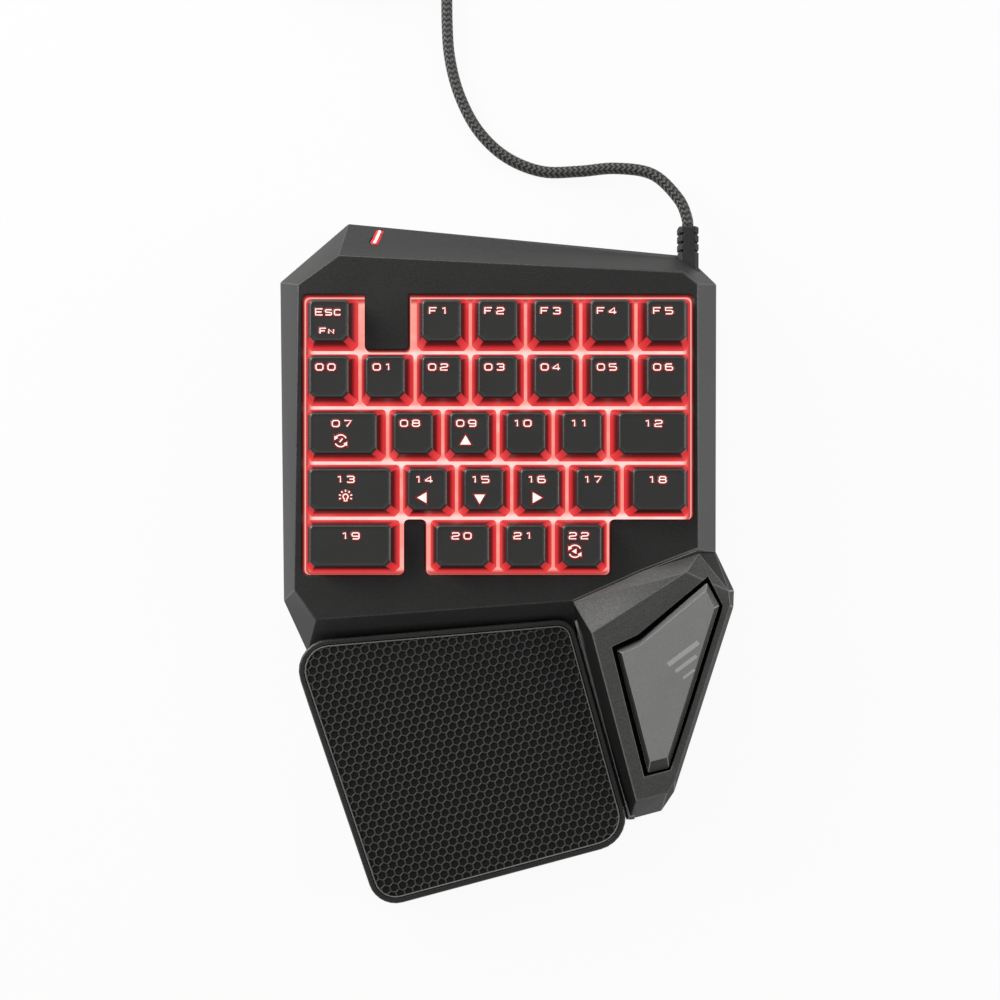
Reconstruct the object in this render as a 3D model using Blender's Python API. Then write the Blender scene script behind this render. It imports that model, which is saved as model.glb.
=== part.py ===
# One-handed mechanical gaming keypad with a thumb key, a sliding palm rest and a braided cord.
# Metres, +Z up. +Y points away from the hand, the desk is at zero height, and the origin lies
# on the desk under the middle of the object without its cord.

import math

import bmesh
import bpy
from mathutils import Matrix, Vector

# Fits
CLEARANCE = 0.0003
OVERRUN = 0.0012
EDGE = 0.0005

# Key grid
KEY_PITCH = 0.01905
COLUMNS = 7
ROWS = 5
KEY_ROWS = (
    (("esc", 0, 1), ("f1", 2, 1), ("f2", 3, 1), ("f3", 4, 1), ("f4", 5, 1), ("f5", 6, 1)),
    (("00", 0, 1), ("01", 1, 1), ("02", 2, 1), ("03", 3, 1), ("04", 4, 1), ("05", 5, 1), ("06", 6, 1)),
    (("07", 0, 1.5), ("08", 1.5, 1), ("09", 2.5, 1), ("10", 3.5, 1), ("11", 4.5, 1), ("12", 5.5, 1.5)),
    (("13", 0, 1.75), ("14", 1.75, 1), ("15", 2.75, 1), ("16", 3.75, 1), ("17", 4.75, 1), ("18", 5.75, 1.25)),
    (("19", 0, 1.75), ("20", 2.25, 1.25), ("21", 3.5, 1), ("22", 4.5, 1)),
)
LAST_ROW_UNITS = 5.5
REAR_TAB_UNITS = (1, 2)
FRONT_TAB_UNITS = (1.75, 2.25)

# Keycaps, each moulded on the stem that runs in its switch
KEY_GAP = 0.0010
KEY_TOP_SIDE = 0.0026
KEY_TOP_FRONT = 0.0022
KEY_CHAMFER = 0.0017
KEY_CORNER_RADIUS = 0.0012
KEY_CORNER_STEPS = 2
KEY_WALL = 0.0012
KEY_SHOULDER = 0.0006
KEY_DISH = 0.0003
KEY_DISH_RIM = 0.0011
KEY_HEIGHT = 0.0097
KEY_TRAVEL = 0.0040
STEM_WIDTH = 0.0066
STEM_DEPTH = 0.0052

# Switches: a lower housing under the plate and a tapered upper housing above it
SWITCH_LOWER_WIDTH = 0.0136
SWITCH_BASE_WIDTH = 0.0140
SWITCH_TOP_WIDTH = 0.0110
SWITCH_RISE = 0.0066
SWITCH_FLOOR = 0.0009

# Heights of the stack, from the desk up
FOOT_HEIGHT = 0.0018
FOOT_RECESS = 0.0009
UNDERSIDE = 0.0012
FLOOR_THICKNESS = 0.0020
PARTING = 0.0080
BOARD_UNDERSIDE = 0.0054
BOARD_THICKNESS = 0.0016
PLATE_TOP = 0.0120
PLATE_THICKNESS = 0.0015
SKIRT_HEIGHT = 0.0178
BEZEL_TOP = 0.0205

# Housing shell
WALL = 0.0020
ROOF = 0.0020
DRAFT = 0.0020
SIDE_MARGIN = 0.0100
END_MARGIN = 0.0276
WELL_MARGIN = 0.0004
WELL_WALL = 0.0014
TAB_SIDE_GAP = 0.0018
NARROW_TAB_SIDE_GAP = 0.0010
PLATE_MARGIN = 0.0025
BOARD_INSET = 0.0020

# Outlines of the housing, counter-clockwise from the front left corner. Each line has the share
# of the key field's width, of the side margin, of the field's depth and of the end margin.
BODY_FOOT_SHARES = (
    (0, -0.05, 0, -1.0),
    (0.70, 0, 0, -0.795),
    (0.919, 0, 0, -0.313),
    (1, 0.98, 0.078, 0),
    (1, 1.0, 1, 0.228),
    (1, -0.04, 1, 0.59),
    (0.105, 0, 1, 1.0),
    (0, -1.0, 1, 0.254),
    (0, -0.875, 0, -0.35),
)
BODY_RIDGE_SHARES = (
    (0.03, 0, 0, -0.592),
    (0.6955, 0, 0, -0.353),
    (0.874, 0, 0, 0.034),
    (1, 0.24, 0.0877, 0),
    (1, 0.22, 1, 0.156),
    (1, -0.31, 1, 0.315),
    (0.0892, 0, 1, 0.525),
    (0, -0.245, 1, 0.149),
    (0, -0.335, 0, -0.205),
)
REAR_LEFT_CORNER = 6
REAR_RIGHT_CORNER = 5
FIRST_RIGHT_CORNER = 3

# Thumb module. Its left side follows the slot beside the palm rest, which leans by SLOT_LEAN_SHARE
# sideways for each length forward. Shares are of the module's width across from the slot's edge
# and of its length up from the field's front line.
MODULE_WIDTH = 0.0500
MODULE_LENGTH = 0.0866
MODULE_SET = 0.0394
MODULE_RISE = 0.0035
SLOT_LEAN_SHARE = 0.24
MODULE_FOOT_SHARES = (
    (-0.040, -1.000),
    (0.201, -0.965),
    (0.324, -0.887),
    (1.052, -0.137),
    (1.084, -0.070),
    (1.019, 0.086),
    (-0.069, -0.192),
    (-0.078, -0.250),
)
MODULE_LAST_FREE_CORNER = 4
MODULE_INNER_CORNER = 7
# The third share is of the rise of the ridge over the bezel.
MODULE_TOP_SHARES = (
    (0.032, -0.907, -0.71),
    (0.255, -0.877, -0.71),
    (0.333, -0.827, -0.66),
    (0.995, -0.125, 0.45),
    (1.009, -0.069, 0.45),
    (0.869, 0.081, 0),
    (0.456, 0.011, 0),
    (-0.072, -0.113, 0),
    (0, -0.234, 1),
)
MODULE_RIDGE_SHARES = ((0.314, -0.175, 1), (0.742, 0.006, 1))
THUMB_WELL_SHARES = (
    (0.127, -0.809),
    (0.318, -0.782),
    (0.591, -0.502),
    (0.942, -0.129),
    (0.886, -0.012),
    (0.311, -0.242),
    (0.113, -0.289),
    (0.117, -0.502),
)
THUMB_CENTRE_SHARES = (0.385, -0.423)

# The lip is the strip of housing between the slot's dark wall and the palm rest. It starts a
# little way inside the body's front wall, and the lower housing reaches a little further out.
LIP_SHARES = ((-0.0925, -0.250), (-0.048, -1.002))
LIP_START = 0.0070
LIP_SHELF = 0.0006
LIP_FRONT_LEAN = 0.0013
LIP_INSIDE = 0.0018
LIP_REAR_TOP = 0.0135
LIP_FRONT_TOP = 0.0100

# Thumb key and its switch. Both tables run from the front left corner, and the crease joins the
# second and fifth corners of the top.
THUMB_BODY_SHARES = (
    (0.162, -0.795),
    (0.313, -0.774),
    (0.916, -0.126),
    (0.868, -0.037),
    (0.322, -0.262),
    (0.143, -0.303),
)
THUMB_TOP_SHARES = (
    (0.192, -0.746),
    (0.316, -0.728),
    (0.871, -0.137),
    (0.843, -0.068),
    (0.312, -0.281),
    (0.173, -0.313),
)
THUMB_BEVEL_DROP = 0.0020
THUMB_REAR_TOP = 0.0256
THUMB_FRONT_TOP = 0.0196
THUMB_SKIRT = 0.0135
THUMB_WALL = 0.0013
THUMB_TRAVEL = 0.0030
THUMB_SWITCH_TOP = 0.0150
THUMB_BOARD_WIDTH = 0.0190
THUMB_BOARD_DEPTH = 0.0180
THUMB_CREASE_RISE = 0.0006

# Screws, from below, and their bosses
BOSS_RADIUS = 0.0030
FRONT_BOSS_RADIUS = 0.0023
LOWER_BOSS_RADIUS = 0.0038
SCREW_HEAD_RADIUS = 0.0025
SCREW_HEAD_HEIGHT = 0.0016
SCREW_SHANK_RADIUS = 0.0013
SCREW_LENGTH = 0.0120
SCREW_SIDES = 10
HEAD_DEPTH = 0.0022
BOSS_SIDES = 12
REAR_BOSS_SET = 0.0060
FRONT_BOSS_SET = 0.0082
BOSS_ACROSS_SHARES = {"rear_left": 0.068, "rear_right": 0.84, "front_left": 0.05, "front_right": 0.919}
FRONT_RIGHT_BOSS_UP = 0.0083
MODULE_BOSS_SHARES = (0.169, -0.848)

# Posts that carry the circuit boards, as shares of the key field
POST_RADIUS = 0.0022
BOARD_POST_SHARES = ((0.16, 0.12), (0.70, 0.12), (0.16, 0.90), (0.50, 0.90), (0.88, 0.90), (0.90, 0.30))
THUMB_POST_SHARE = 0.32

# Rubber feet: share of the field's width and of its depth, and share of the end margin
FOOT_LENGTH = 0.0180
FOOT_WIDTH = 0.0070
FOOT_SHARES = {
    "foot_rear_left": (0.19, 1, 0.42),
    "foot_rear_right": (0.68, 1, 0.27),
    "foot_front_left": (0.17, 0, -0.52),
    "foot_front_middle": (0.58, 0, -0.42),
}
MODULE_FOOT_PAD_SHARES = (0.30, -0.66)

# Status light on the rear slope: places along the rear edge and up the slope
LIGHT_WIDTH = 0.0016
LIGHT_THICKNESS = 0.0022
LIGHT_PROUD = 0.0002
LIGHT_FOOT_SHARES = (0.097, 0.14)
LIGHT_HEAD_SHARES = (0.083, 0.54)

# Palm rest. Its right side leans by REST_LEAN_SHARE, and its corners follow the slot and the
# housing's front crease.
REST_WIDTH = 0.1175
REST_LENGTH = 0.1018
REST_SIDE_GAP = 0.00643
REST_REAR_GAP = 0.0059
REST_LEAN_SHARE = 0.2765
REST_FRONT_RIGHT_SHARE = -0.763
REST_FRONT_LEFT_SHARES = (-0.578, -1.0)
REST_REAR_LEFT_SHARES = (-0.8406, -0.0828)
REST_RADII = (0.0066, 0.0117, 0.0096, 0.0109)
REST_CORNER_STEPS = 7
REST_UNDERSIDE = 0.0015
REST_REAR_TOP = 0.0160
REST_FRONT_TOP = 0.0120
REST_REAR_LEAN = 0.0085
REST_SHOULDER = 0.0076
REST_WALL = 0.0020
REST_DRAFT = 0.0010
RIM_WIDTH = 0.0018
PAD_THICKNESS = 0.0018
REST_DECK = 0.0020
REST_PLATE_THICKNESS = 0.0025
REST_SCREW_SHARES = ((-0.66, -0.50), (-0.06, -0.50))
REST_FOOT_SHARES = {"rest_foot_left": (-0.47, -0.84), "rest_foot_right": (0.02, -0.70)}

# Tongue that guides the palm rest in the housing's front wall. At the end of its travel the rest
# still has the stay of the tongue in the wall.
REST_TRAVEL = 0.0100
TONGUE_WIDTH = 0.0360
TONGUE_THICKNESS = 0.0022
TONGUE_STAY = 0.0015
TONGUE_CUT = 0.0100
TONGUE_FLOOR_GAP = 0.0012
TONGUE_PLAY = 0.0004
TONGUE_ACROSS_SHARE = 0.36

# Strain relief
RELIEF_WIDTH = 0.0072
RELIEF_HEIGHT = 0.0064
RELIEF_CHAMFER = 0.0012
RELIEF_LENGTH = 0.0215
RELIEF_TIP_SHARE = 0.957
RELIEF_SLOT_PITCH = 0.0030
RELIEF_SLOT_WIDTH = 0.0009
RELIEF_SLOT_DEPTH = 0.0019
RELIEF_SLOTS = 3
RELIEF_FIRST_SLOT = 0.0024
FLANGE_OVERHANG = 0.0010
FLANGE_THICKNESS = 0.0015

# Cord. The route's points are offsets from the tip of the strain relief.
CORD_DIAMETER = 0.0040
CORD_LIFT = 0.00005
LEAD_STEP = 0.0095
CORD_ROUTE = (
    (0, 0, 0),
    (-0.0002, 0.0030, 0),
    (-0.0032, 0.0102, -0.0004),
    (-0.0122, 0.0192, -0.0018),
    (-0.0252, 0.0218, -0.0036),
    (-0.0382, 0.0211, -0.0051),
    (-0.0513, 0.0213, -0.0059),
    (-0.0639, 0.0264, -0.00605),
    (-0.0737, 0.0356, -0.00605),
    (-0.0803, 0.0478, -0.00605),
    (-0.0839, 0.0610, -0.00605),
    (-0.0850, 0.0750, -0.00605),
    (-0.0850, 0.0980, -0.00605),
)
COIL_ENTRY = (-0.0850, 0.1250)
COIL_PITCH = 0.0046
COIL_TURNS = 5
COIL_POINTS = 24
COIL_INNER_RADIUS = 0.0135
TAIL_LENGTH = 0.0320
TAIL_SIDE = 0.0024
TAIL_STEPS = 4

# Plug on the cord's far end
PLUG_BODY_LENGTH = 0.0290
PLUG_BODY_WIDTH = 0.0158
PLUG_BODY_HEIGHT = 0.0080
PLUG_NECK_LENGTH = 0.0060
PLUG_NECK_WIDTH = 0.0072
PLUG_CHAMFER = 0.0016
PLUG_SHELL_WIDTH = 0.0120
PLUG_SHELL_HEIGHT = 0.0045
PLUG_SHELL_LENGTH = 0.0125
PLUG_SHELL_WALL = 0.0004
PLUG_SHELL_BACK = 0.0010
PLUG_TONGUE_THICKNESS = 0.0018
PLUG_TONGUE_LENGTH = 0.0090

# Materials: colour, roughness, metallic
MATERIALS = {
    "housing_plastic": ((0.032, 0.031, 0.029), 0.55, 0),
    "lower_plastic": ((0.020, 0.020, 0.020), 0.65, 0),
    "keycap_plastic": ((0.042, 0.041, 0.039), 0.50, 0),
    "thumb_plastic": ((0.165, 0.160, 0.155), 0.48, 0),
    "light_deck": ((0.90, 0.62, 0.58), 0.40, 0),
    "board_green": ((0.02, 0.10, 0.05), 0.50, 0),
    "switch_black": ((0.02, 0.02, 0.02), 0.45, 0),
    "red_lens": ((0.85, 0.10, 0.12), 0.20, 0),
    "rest_plastic": ((0.036, 0.035, 0.033), 0.50, 0),
    "pad_rubber": ((0.014, 0.014, 0.013), 0.70, 0),
    "foot_rubber": ((0.010, 0.010, 0.010), 0.85, 0),
    "braided_cord": ((0.022, 0.021, 0.021), 0.80, 0),
    "plug_plastic": ((0.022, 0.022, 0.022), 0.55, 0),
    "plug_metal": ((0.72, 0.70, 0.66), 0.25, 1),
    "screw_steel": ((0.35, 0.35, 0.36), 0.30, 1),
}

FIELD_WIDTH = COLUMNS * KEY_PITCH
FIELD_DEPTH = ROWS * KEY_PITCH
TOP_COVER_BASE = PARTING + CLEARANCE
FLOOR_TOP = UNDERSIDE + FLOOR_THICKNESS
BOARD_TOP = BOARD_UNDERSIDE + BOARD_THICKNESS
SWITCH_BOTTOM = BOARD_TOP + CLEARANCE
SWITCH_TOP = PLATE_TOP + SWITCH_RISE
STEM_HOLE_FLOOR = SWITCH_BOTTOM + SWITCH_FLOOR
STEM_BOTTOM = STEM_HOLE_FLOOR + KEY_TRAVEL + CLEARANCE
THUMB_STEM_BOTTOM = STEM_HOLE_FLOOR + THUMB_TRAVEL + CLEARANCE
LEAN_ANGLE = math.atan(SLOT_LEAN_SHARE)
CORD_RADIUS = CORD_DIAMETER / 2


def new_collection(name):
    collection = bpy.data.collections.new(name)
    bpy.context.scene.collection.children.link(collection)
    return collection


for old in list(bpy.data.objects):
    bpy.data.objects.remove(old, do_unlink=True)
PARTS = new_collection("gaming_keypad")
CUTTERS = new_collection("cutters")


def make_material(name):
    colour, roughness, metallic = MATERIALS[name]
    material = bpy.data.materials.new(name)
    material.use_nodes = True
    shader = material.node_tree.nodes["Principled BSDF"]
    shader.inputs["Base Color"].default_value = (*colour, 1)
    shader.inputs["Roughness"].default_value = roughness
    shader.inputs["Metallic"].default_value = metallic
    material.diffuse_color = (*colour, 1)
    return material


PALETTE = {name: make_material(name) for name in MATERIALS}


def add_object(name, mesh, material=None):
    item = bpy.data.objects.new(name, mesh)
    if material:
        mesh.materials.append(PALETTE[material])
        PARTS.objects.link(item)
    else:
        item.hide_render = True
        item.display_type = "WIRE"
        CUTTERS.objects.link(item)
    return item


def finish(name, bm, material=None):
    bmesh.ops.recalc_face_normals(bm, faces=bm.faces)
    mesh = bpy.data.meshes.new(name)
    bm.to_mesh(mesh)
    bm.free()
    return add_object(name, mesh, material)


def boolean(item, tool, operation):
    modifier = item.modifiers.new(operation.lower(), "BOOLEAN")
    modifier.operation = operation
    modifier.solver = "EXACT"
    modifier.object = tool
    return item


def cut(item, *tools):
    for tool in tools:
        boolean(item, tool, "DIFFERENCE")
    return item


def join(item, *tools):
    for tool in tools:
        boolean(item, tool, "UNION")
    return item


# Outlines are lists of 2D points, counter-clockwise.

def inset(points, distance):
    moved = []
    for index, here in enumerate(points):
        arriving = (here - points[index - 1]).normalized()
        leaving = (points[(index + 1) % len(points)] - here).normalized()
        normal_in = Vector((-arriving.y, arriving.x))
        normal_out = Vector((-leaving.y, leaving.x))
        moved.append(here + (normal_in + normal_out) * distance / (1 + normal_in.dot(normal_out)))
    return moved


def rounded(points, radii, steps):
    result = []
    for index, here in enumerate(points):
        back = (points[index - 1] - here).normalized()
        ahead = (points[(index + 1) % len(points)] - here).normalized()
        half_angle = back.angle(ahead) / 2
        reach = radii[index] / math.tan(half_angle)
        centre = here + (back + ahead).normalized() * radii[index] / math.sin(half_angle)
        first = here + back * reach - centre
        last = here + ahead * reach - centre
        sweep = first.angle_signed(last)
        for step in range(steps + 1):
            turn = -sweep * step / steps
            result.append(centre + Matrix.Rotation(turn, 2) @ first)
    return result


def chamfered(half_width, half_depth, chamfer):
    corners = []
    for x_side, y_side in ((-1, -1), (1, -1), (1, 1), (-1, 1)):
        across = Vector((x_side * (half_width - chamfer), y_side * half_depth))
        along = Vector((x_side * half_width, y_side * (half_depth - chamfer)))
        corners.extend((across, along) if x_side * y_side < 0 else (along, across))
    return corners


def inset_towards(points, centre, distance):
    return [point + (centre - point).normalized() * distance for point in points]


def level(points, height):
    return [Vector((point.x, point.y, height)) for point in points]


def follow(points, height_of):
    return [Vector((point.x, point.y, height_of(point))) for point in points]


def turned_about(points, centre, angle):
    turn = Matrix.Rotation(angle, 2)
    return [centre + turn @ point for point in points]


def fill_loft(bm, loops):
    rings = [[bm.verts.new(point) for point in loop] for loop in loops]
    count = len(rings[0])
    for lower, upper in zip(rings, rings[1:]):
        for index in range(count):
            after = (index + 1) % count
            bm.faces.new((lower[index], lower[after], upper[after], upper[index]))
    bm.faces.new(list(reversed(rings[0])))
    bm.faces.new(rings[-1])


def loft(name, loops, material=None):
    bm = bmesh.new()
    fill_loft(bm, loops)
    return finish(name, bm, material)


def prism(name, points, low, high, material=None):
    return loft(name, (level(points, low), level(points, high)), material)


def hull(name, points, material=None):
    bm = bmesh.new()
    for point in points:
        bm.verts.new(point)
    shape = bmesh.ops.convex_hull(bm, input=bm.verts)
    spare = {item for item in shape["geom_interior"] if isinstance(item, bmesh.types.BMVert)}
    bmesh.ops.delete(bm, geom=list(spare), context="VERTS")
    return finish(name, bm, material)


def cylinders(name, spots, radius, low, high, sides, material=None):
    bm = bmesh.new()
    for spot in spots:
        middle = Matrix.Translation((spot.x, spot.y, (low + high) / 2))
        bmesh.ops.create_cone(bm, cap_ends=True, segments=sides, radius1=radius, radius2=radius,
                              depth=high - low, matrix=middle)
    return finish(name, bm, material)


def box_between(name, low, high, material=None):
    bm = bmesh.new()
    size = Vector(high) - Vector(low)
    middle = (Vector(high) + Vector(low)) / 2
    bmesh.ops.create_cube(bm, size=1, matrix=Matrix.Translation(middle) @ Matrix.Diagonal((*size, 1)))
    return finish(name, bm, material)


# Layout: places are first set out from the front left corner of the key field, and everything
# is then moved so that the origin is under the middle of the object.

def body_points(shares):
    return [Vector((across * FIELD_WIDTH + side * SIDE_MARGIN, up * FIELD_DEPTH + end * END_MARGIN))
            for across, side, up, end in shares]


def module_point(across, up):
    run = up * MODULE_LENGTH
    return Vector((FIELD_WIDTH - MODULE_SET + across * MODULE_WIDTH - SLOT_LEAN_SHARE * run, run))


def rest_point(across, up):
    return Vector((across * REST_WIDTH, up * REST_LENGTH))


body_foot = body_points(BODY_FOOT_SHARES)
body_ridge = body_points(BODY_RIDGE_SHARES)
module_foot = [module_point(*shares) for shares in MODULE_FOOT_SHARES]
module_top = [module_point(*shares[:2]) for shares in MODULE_TOP_SHARES]
module_ridge = [module_point(*shares[:2]) for shares in MODULE_RIDGE_SHARES]
# The housing's front crease ends at the ridge's second corner.
crease_left, crease_right = body_ridge[:2]
rest_corner = Vector((module_top[-1].x - REST_SIDE_GAP, crease_right.y - REST_REAR_GAP))
rest_run = REST_FRONT_RIGHT_SHARE * REST_LENGTH
rest_corners = [
    rest_corner,
    rest_corner + rest_point(*REST_REAR_LEFT_SHARES),
    rest_corner + rest_point(*REST_FRONT_LEFT_SHARES),
    rest_corner + Vector((-REST_LEAN_SHARE * rest_run, rest_run)),
]
rest_radii = (REST_RADII[0], REST_RADII[3], REST_RADII[2], REST_RADII[1])
rest_outline = rounded(rest_corners, rest_radii, REST_CORNER_STEPS)

everything = body_foot + module_foot + rest_outline
low_corner = Vector((min(point.x for point in everything), min(point.y for point in everything)))
high_corner = Vector((max(point.x for point in everything), max(point.y for point in everything)))
ORIGIN = (low_corner + high_corner) / 2
FIELD = -ORIGIN


def centred(points):
    return [point - ORIGIN for point in points]


body_foot = centred(body_foot)
body_ridge = centred(body_ridge)
module_foot = centred(module_foot)
module_top = centred(module_top)
module_ridge = centred(module_ridge)
rest_outline = centred(rest_outline)
rest_corners = centred(rest_corners)
rest_corner = rest_corner - ORIGIN
thumb_well = centred([module_point(*shares) for shares in THUMB_WELL_SHARES])
thumb_centre = module_point(*THUMB_CENTRE_SHARES) - ORIGIN
thumb_body = centred([module_point(*shares) for shares in THUMB_BODY_SHARES])
thumb_top = centred([module_point(*shares) for shares in THUMB_TOP_SHARES])
lip_ends = centred([module_point(*shares) for shares in LIP_SHARES])
shelf_ends = [point - Vector((LIP_SHELF, 0)) for point in lip_ends]
lower_outline = (body_foot[:1] + shelf_ends + module_foot[1:MODULE_LAST_FREE_CORNER + 1]
                 + body_foot[FIRST_RIGHT_CORNER:])


def field_spot(across, up, extra=0):
    return FIELD + Vector((across * FIELD_WIDTH, up * FIELD_DEPTH + extra))


def screw_spots():
    across = BOSS_ACROSS_SHARES
    return {
        "rear_left": field_spot(across["rear_left"], 1, REAR_BOSS_SET),
        "rear_right": field_spot(across["rear_right"], 1, REAR_BOSS_SET),
        "front_left": field_spot(across["front_left"], 0, -FRONT_BOSS_SET),
        "front_right": field_spot(across["front_right"], 0, FRONT_RIGHT_BOSS_UP),
        "thumb": module_point(*MODULE_BOSS_SHARES) - ORIGIN,
    }


SCREWS = screw_spots()


# The well round the keys, with the tabs of the bezel that reach into it.

def well_outline(margin, tab_gap, narrow_gap):
    left = FIELD.x - margin
    right = FIELD.x + FIELD_WIDTH + margin
    rear = FIELD.y + FIELD_DEPTH + margin
    front = FIELD.y - margin
    short = FIELD.x + LAST_ROW_UNITS * KEY_PITCH + margin
    step = FIELD.y + KEY_PITCH - margin
    rear_tab = FIELD.y + FIELD_DEPTH - KEY_PITCH + margin
    front_tab = FIELD.y + KEY_PITCH - margin
    tab_left = FIELD.x + REAR_TAB_UNITS[0] * KEY_PITCH + tab_gap
    tab_right = FIELD.x + REAR_TAB_UNITS[1] * KEY_PITCH - tab_gap
    narrow_left = FIELD.x + FRONT_TAB_UNITS[0] * KEY_PITCH + narrow_gap
    narrow_right = FIELD.x + FRONT_TAB_UNITS[1] * KEY_PITCH - narrow_gap
    corners = (
        (left, front), (narrow_left, front), (narrow_left, front_tab), (narrow_right, front_tab),
        (narrow_right, front), (short, front), (short, step), (right, step), (right, rear),
        (tab_right, rear), (tab_right, rear_tab), (tab_left, rear_tab), (tab_left, rear), (left, rear),
    )
    return [Vector(corner) for corner in corners]


def field_outline(margin):
    right = FIELD.x + FIELD_WIDTH + margin
    short = FIELD.x + LAST_ROW_UNITS * KEY_PITCH + margin
    step = FIELD.y + KEY_PITCH - margin
    front = FIELD.y - margin
    rear = FIELD.y + FIELD_DEPTH + margin
    corners = (
        (FIELD.x - margin, front), (short, front), (short, step), (right, step), (right, rear),
        (FIELD.x - margin, rear),
    )
    return [Vector(corner) for corner in corners]


# Housing

def slope_point(along, up):
    foot = body_foot[REAR_LEFT_CORNER].lerp(body_foot[REAR_RIGHT_CORNER], along)
    head = body_ridge[REAR_LEFT_CORNER].lerp(body_ridge[REAR_RIGHT_CORNER], along)
    return Vector((*foot, TOP_COVER_BASE)).lerp(Vector((*head, BEZEL_TOP)), up)


def light_block(name, grow, material=None):
    foot = slope_point(*LIGHT_FOOT_SHARES)
    head = slope_point(*LIGHT_HEAD_SHARES)
    rear_edge = slope_point(1, 0) - slope_point(0, 0)
    normal = (head - foot).cross(rear_edge).normalized()
    if normal.z < 0:
        normal.negate()
    along = (head - foot).normalized()
    sideways = normal.cross(along)
    half_length = (head - foot).length / 2 + grow
    half_width = LIGHT_WIDTH / 2 + grow
    top = normal * (LIGHT_PROUD + grow)
    bottom = normal * (LIGHT_PROUD - LIGHT_THICKNESS - grow)
    outline = chamfered(half_width, half_length, LIGHT_WIDTH / 4)
    middle = (foot + head) / 2
    face = [middle + sideways * point.x + along * point.y for point in outline]
    return loft(name, ([point + bottom for point in face], [point + top for point in face]), material)


def relief_section(half_width, half_height, chamfer, place):
    height = PARTING + CLEARANCE / 2
    middle = FIELD.x + FIELD_WIDTH
    return [Vector((middle + point.x, place, height + point.y))
            for point in chamfered(half_width, half_height, chamfer)]


RELIEF_TIP = FIELD.y + FIELD_DEPTH + RELIEF_TIP_SHARE * END_MARGIN


def relief_notch():
    inner = RELIEF_TIP - RELIEF_LENGTH - OVERRUN
    sizes = (RELIEF_WIDTH / 2 + CLEARANCE, RELIEF_HEIGHT / 2 + CLEARANCE, RELIEF_CHAMFER)
    return loft("relief_notch", (relief_section(*sizes, inner), relief_section(*sizes, RELIEF_TIP)))


def module_solid(name, thickness):
    foot = level(inset(module_foot, thickness), TOP_COVER_BASE - (OVERRUN if thickness else 0))
    crown = []
    for point, shares in zip(inset(module_top, thickness), MODULE_TOP_SHARES):
        crown.append(Vector((*point, BEZEL_TOP + shares[2] * MODULE_RISE - thickness)))
    for point, shares in zip(module_ridge, MODULE_RIDGE_SHARES):
        crown.append(Vector((*point, BEZEL_TOP + shares[2] * MODULE_RISE - thickness)))
    return hull(name, foot + crown)


def slot_lip():
    rear, front = lip_ends
    inside = Vector((LIP_INSIDE, 0))
    start = (rear - front).normalized() * LIP_START
    corners = [rear + start, front, module_foot[0] + inside,
               module_foot[MODULE_INNER_CORNER] + inside + start]
    lean = Vector((0, LIP_FRONT_LEAN))
    ends = ((0, LIP_REAR_TOP), (1, LIP_FRONT_TOP), (1, LIP_FRONT_TOP), (0, LIP_REAR_TOP))
    top = [Vector((*(corner + lean * share), height)) for corner, (share, height) in zip(corners, ends)]
    return loft("slot_lip", (level(corners, TOP_COVER_BASE), top))


def make_top_cover():
    loops = (
        level(body_foot, TOP_COVER_BASE),
        level(body_ridge, BEZEL_TOP - EDGE),
        level(inset(body_ridge, EDGE), BEZEL_TOP),
    )
    cover = loft("top_cover", loops, "housing_plastic")
    join(cover, module_solid("module_outside", 0))
    inside = loft("cover_inside", (
        level(inset(body_foot, WALL), TOP_COVER_BASE - OVERRUN),
        level(inset(body_ridge, WALL), BEZEL_TOP - ROOF),
    ))
    well = well_outline(WELL_MARGIN, TAB_SIDE_GAP, NARROW_TAB_SIDE_GAP)
    skirt = prism("well_skirt", inset(well, -WELL_WALL), PLATE_TOP + CLEARANCE, BEZEL_TOP + OVERRUN)
    cut(inside, skirt)
    cut(cover, inside, module_solid("module_inside", ROOF))
    join(cover, slot_lip())
    high = [SCREWS[name] for name in BOSS_ACROSS_SHARES]
    join(cover, cylinders("cover_bosses", high, BOSS_RADIUS, TOP_COVER_BASE, BEZEL_TOP - ROOF / 2,
                          BOSS_SIDES))
    module_roof = BEZEL_TOP + MODULE_TOP_SHARES[0][2] * MODULE_RISE - ROOF / 2
    join(cover, cylinders("thumb_boss", [SCREWS["thumb"]], FRONT_BOSS_RADIUS, TOP_COVER_BASE,
                          module_roof, BOSS_SIDES))
    cut(cover, prism("key_well", well, PLATE_TOP, BEZEL_TOP + OVERRUN))
    ridge_top = BEZEL_TOP + MODULE_RISE + OVERRUN
    cut(cover, prism("thumb_well", thumb_well, PARTING, ridge_top))
    hole_top = UNDERSIDE + HEAD_DEPTH + SCREW_LENGTH
    cut(cover, cylinders("pilot_holes", SCREWS.values(), SCREW_SHANK_RADIUS + CLEARANCE,
                         PARTING, hole_top, SCREW_SIDES))
    cut(cover, light_block("light_slot", CLEARANCE), relief_notch())


def tongue_block(name, grow, rear, front, low, high, material=None):
    wall_left = body_foot[0]
    wall_right = module_foot[MODULE_INNER_CORNER]
    middle = wall_left.lerp(wall_right, TONGUE_ACROSS_SHARE)
    half_width = TONGUE_WIDTH / 2 + grow
    corners = [Vector((-half_width, front)), Vector((half_width, front)),
               Vector((half_width, rear)), Vector((-half_width, rear))]
    return prism(name, turned_about(corners, middle, LEAN_ANGLE), low, high, material)


def foot_pad(name, centre, angle, low, high, grow, material=None):
    outline = chamfered(FOOT_LENGTH / 2 + grow, FOOT_WIDTH / 2 + grow, FOOT_WIDTH / 4)
    return prism(name, turned_about(outline, centre, angle), low, high, material)


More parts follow.
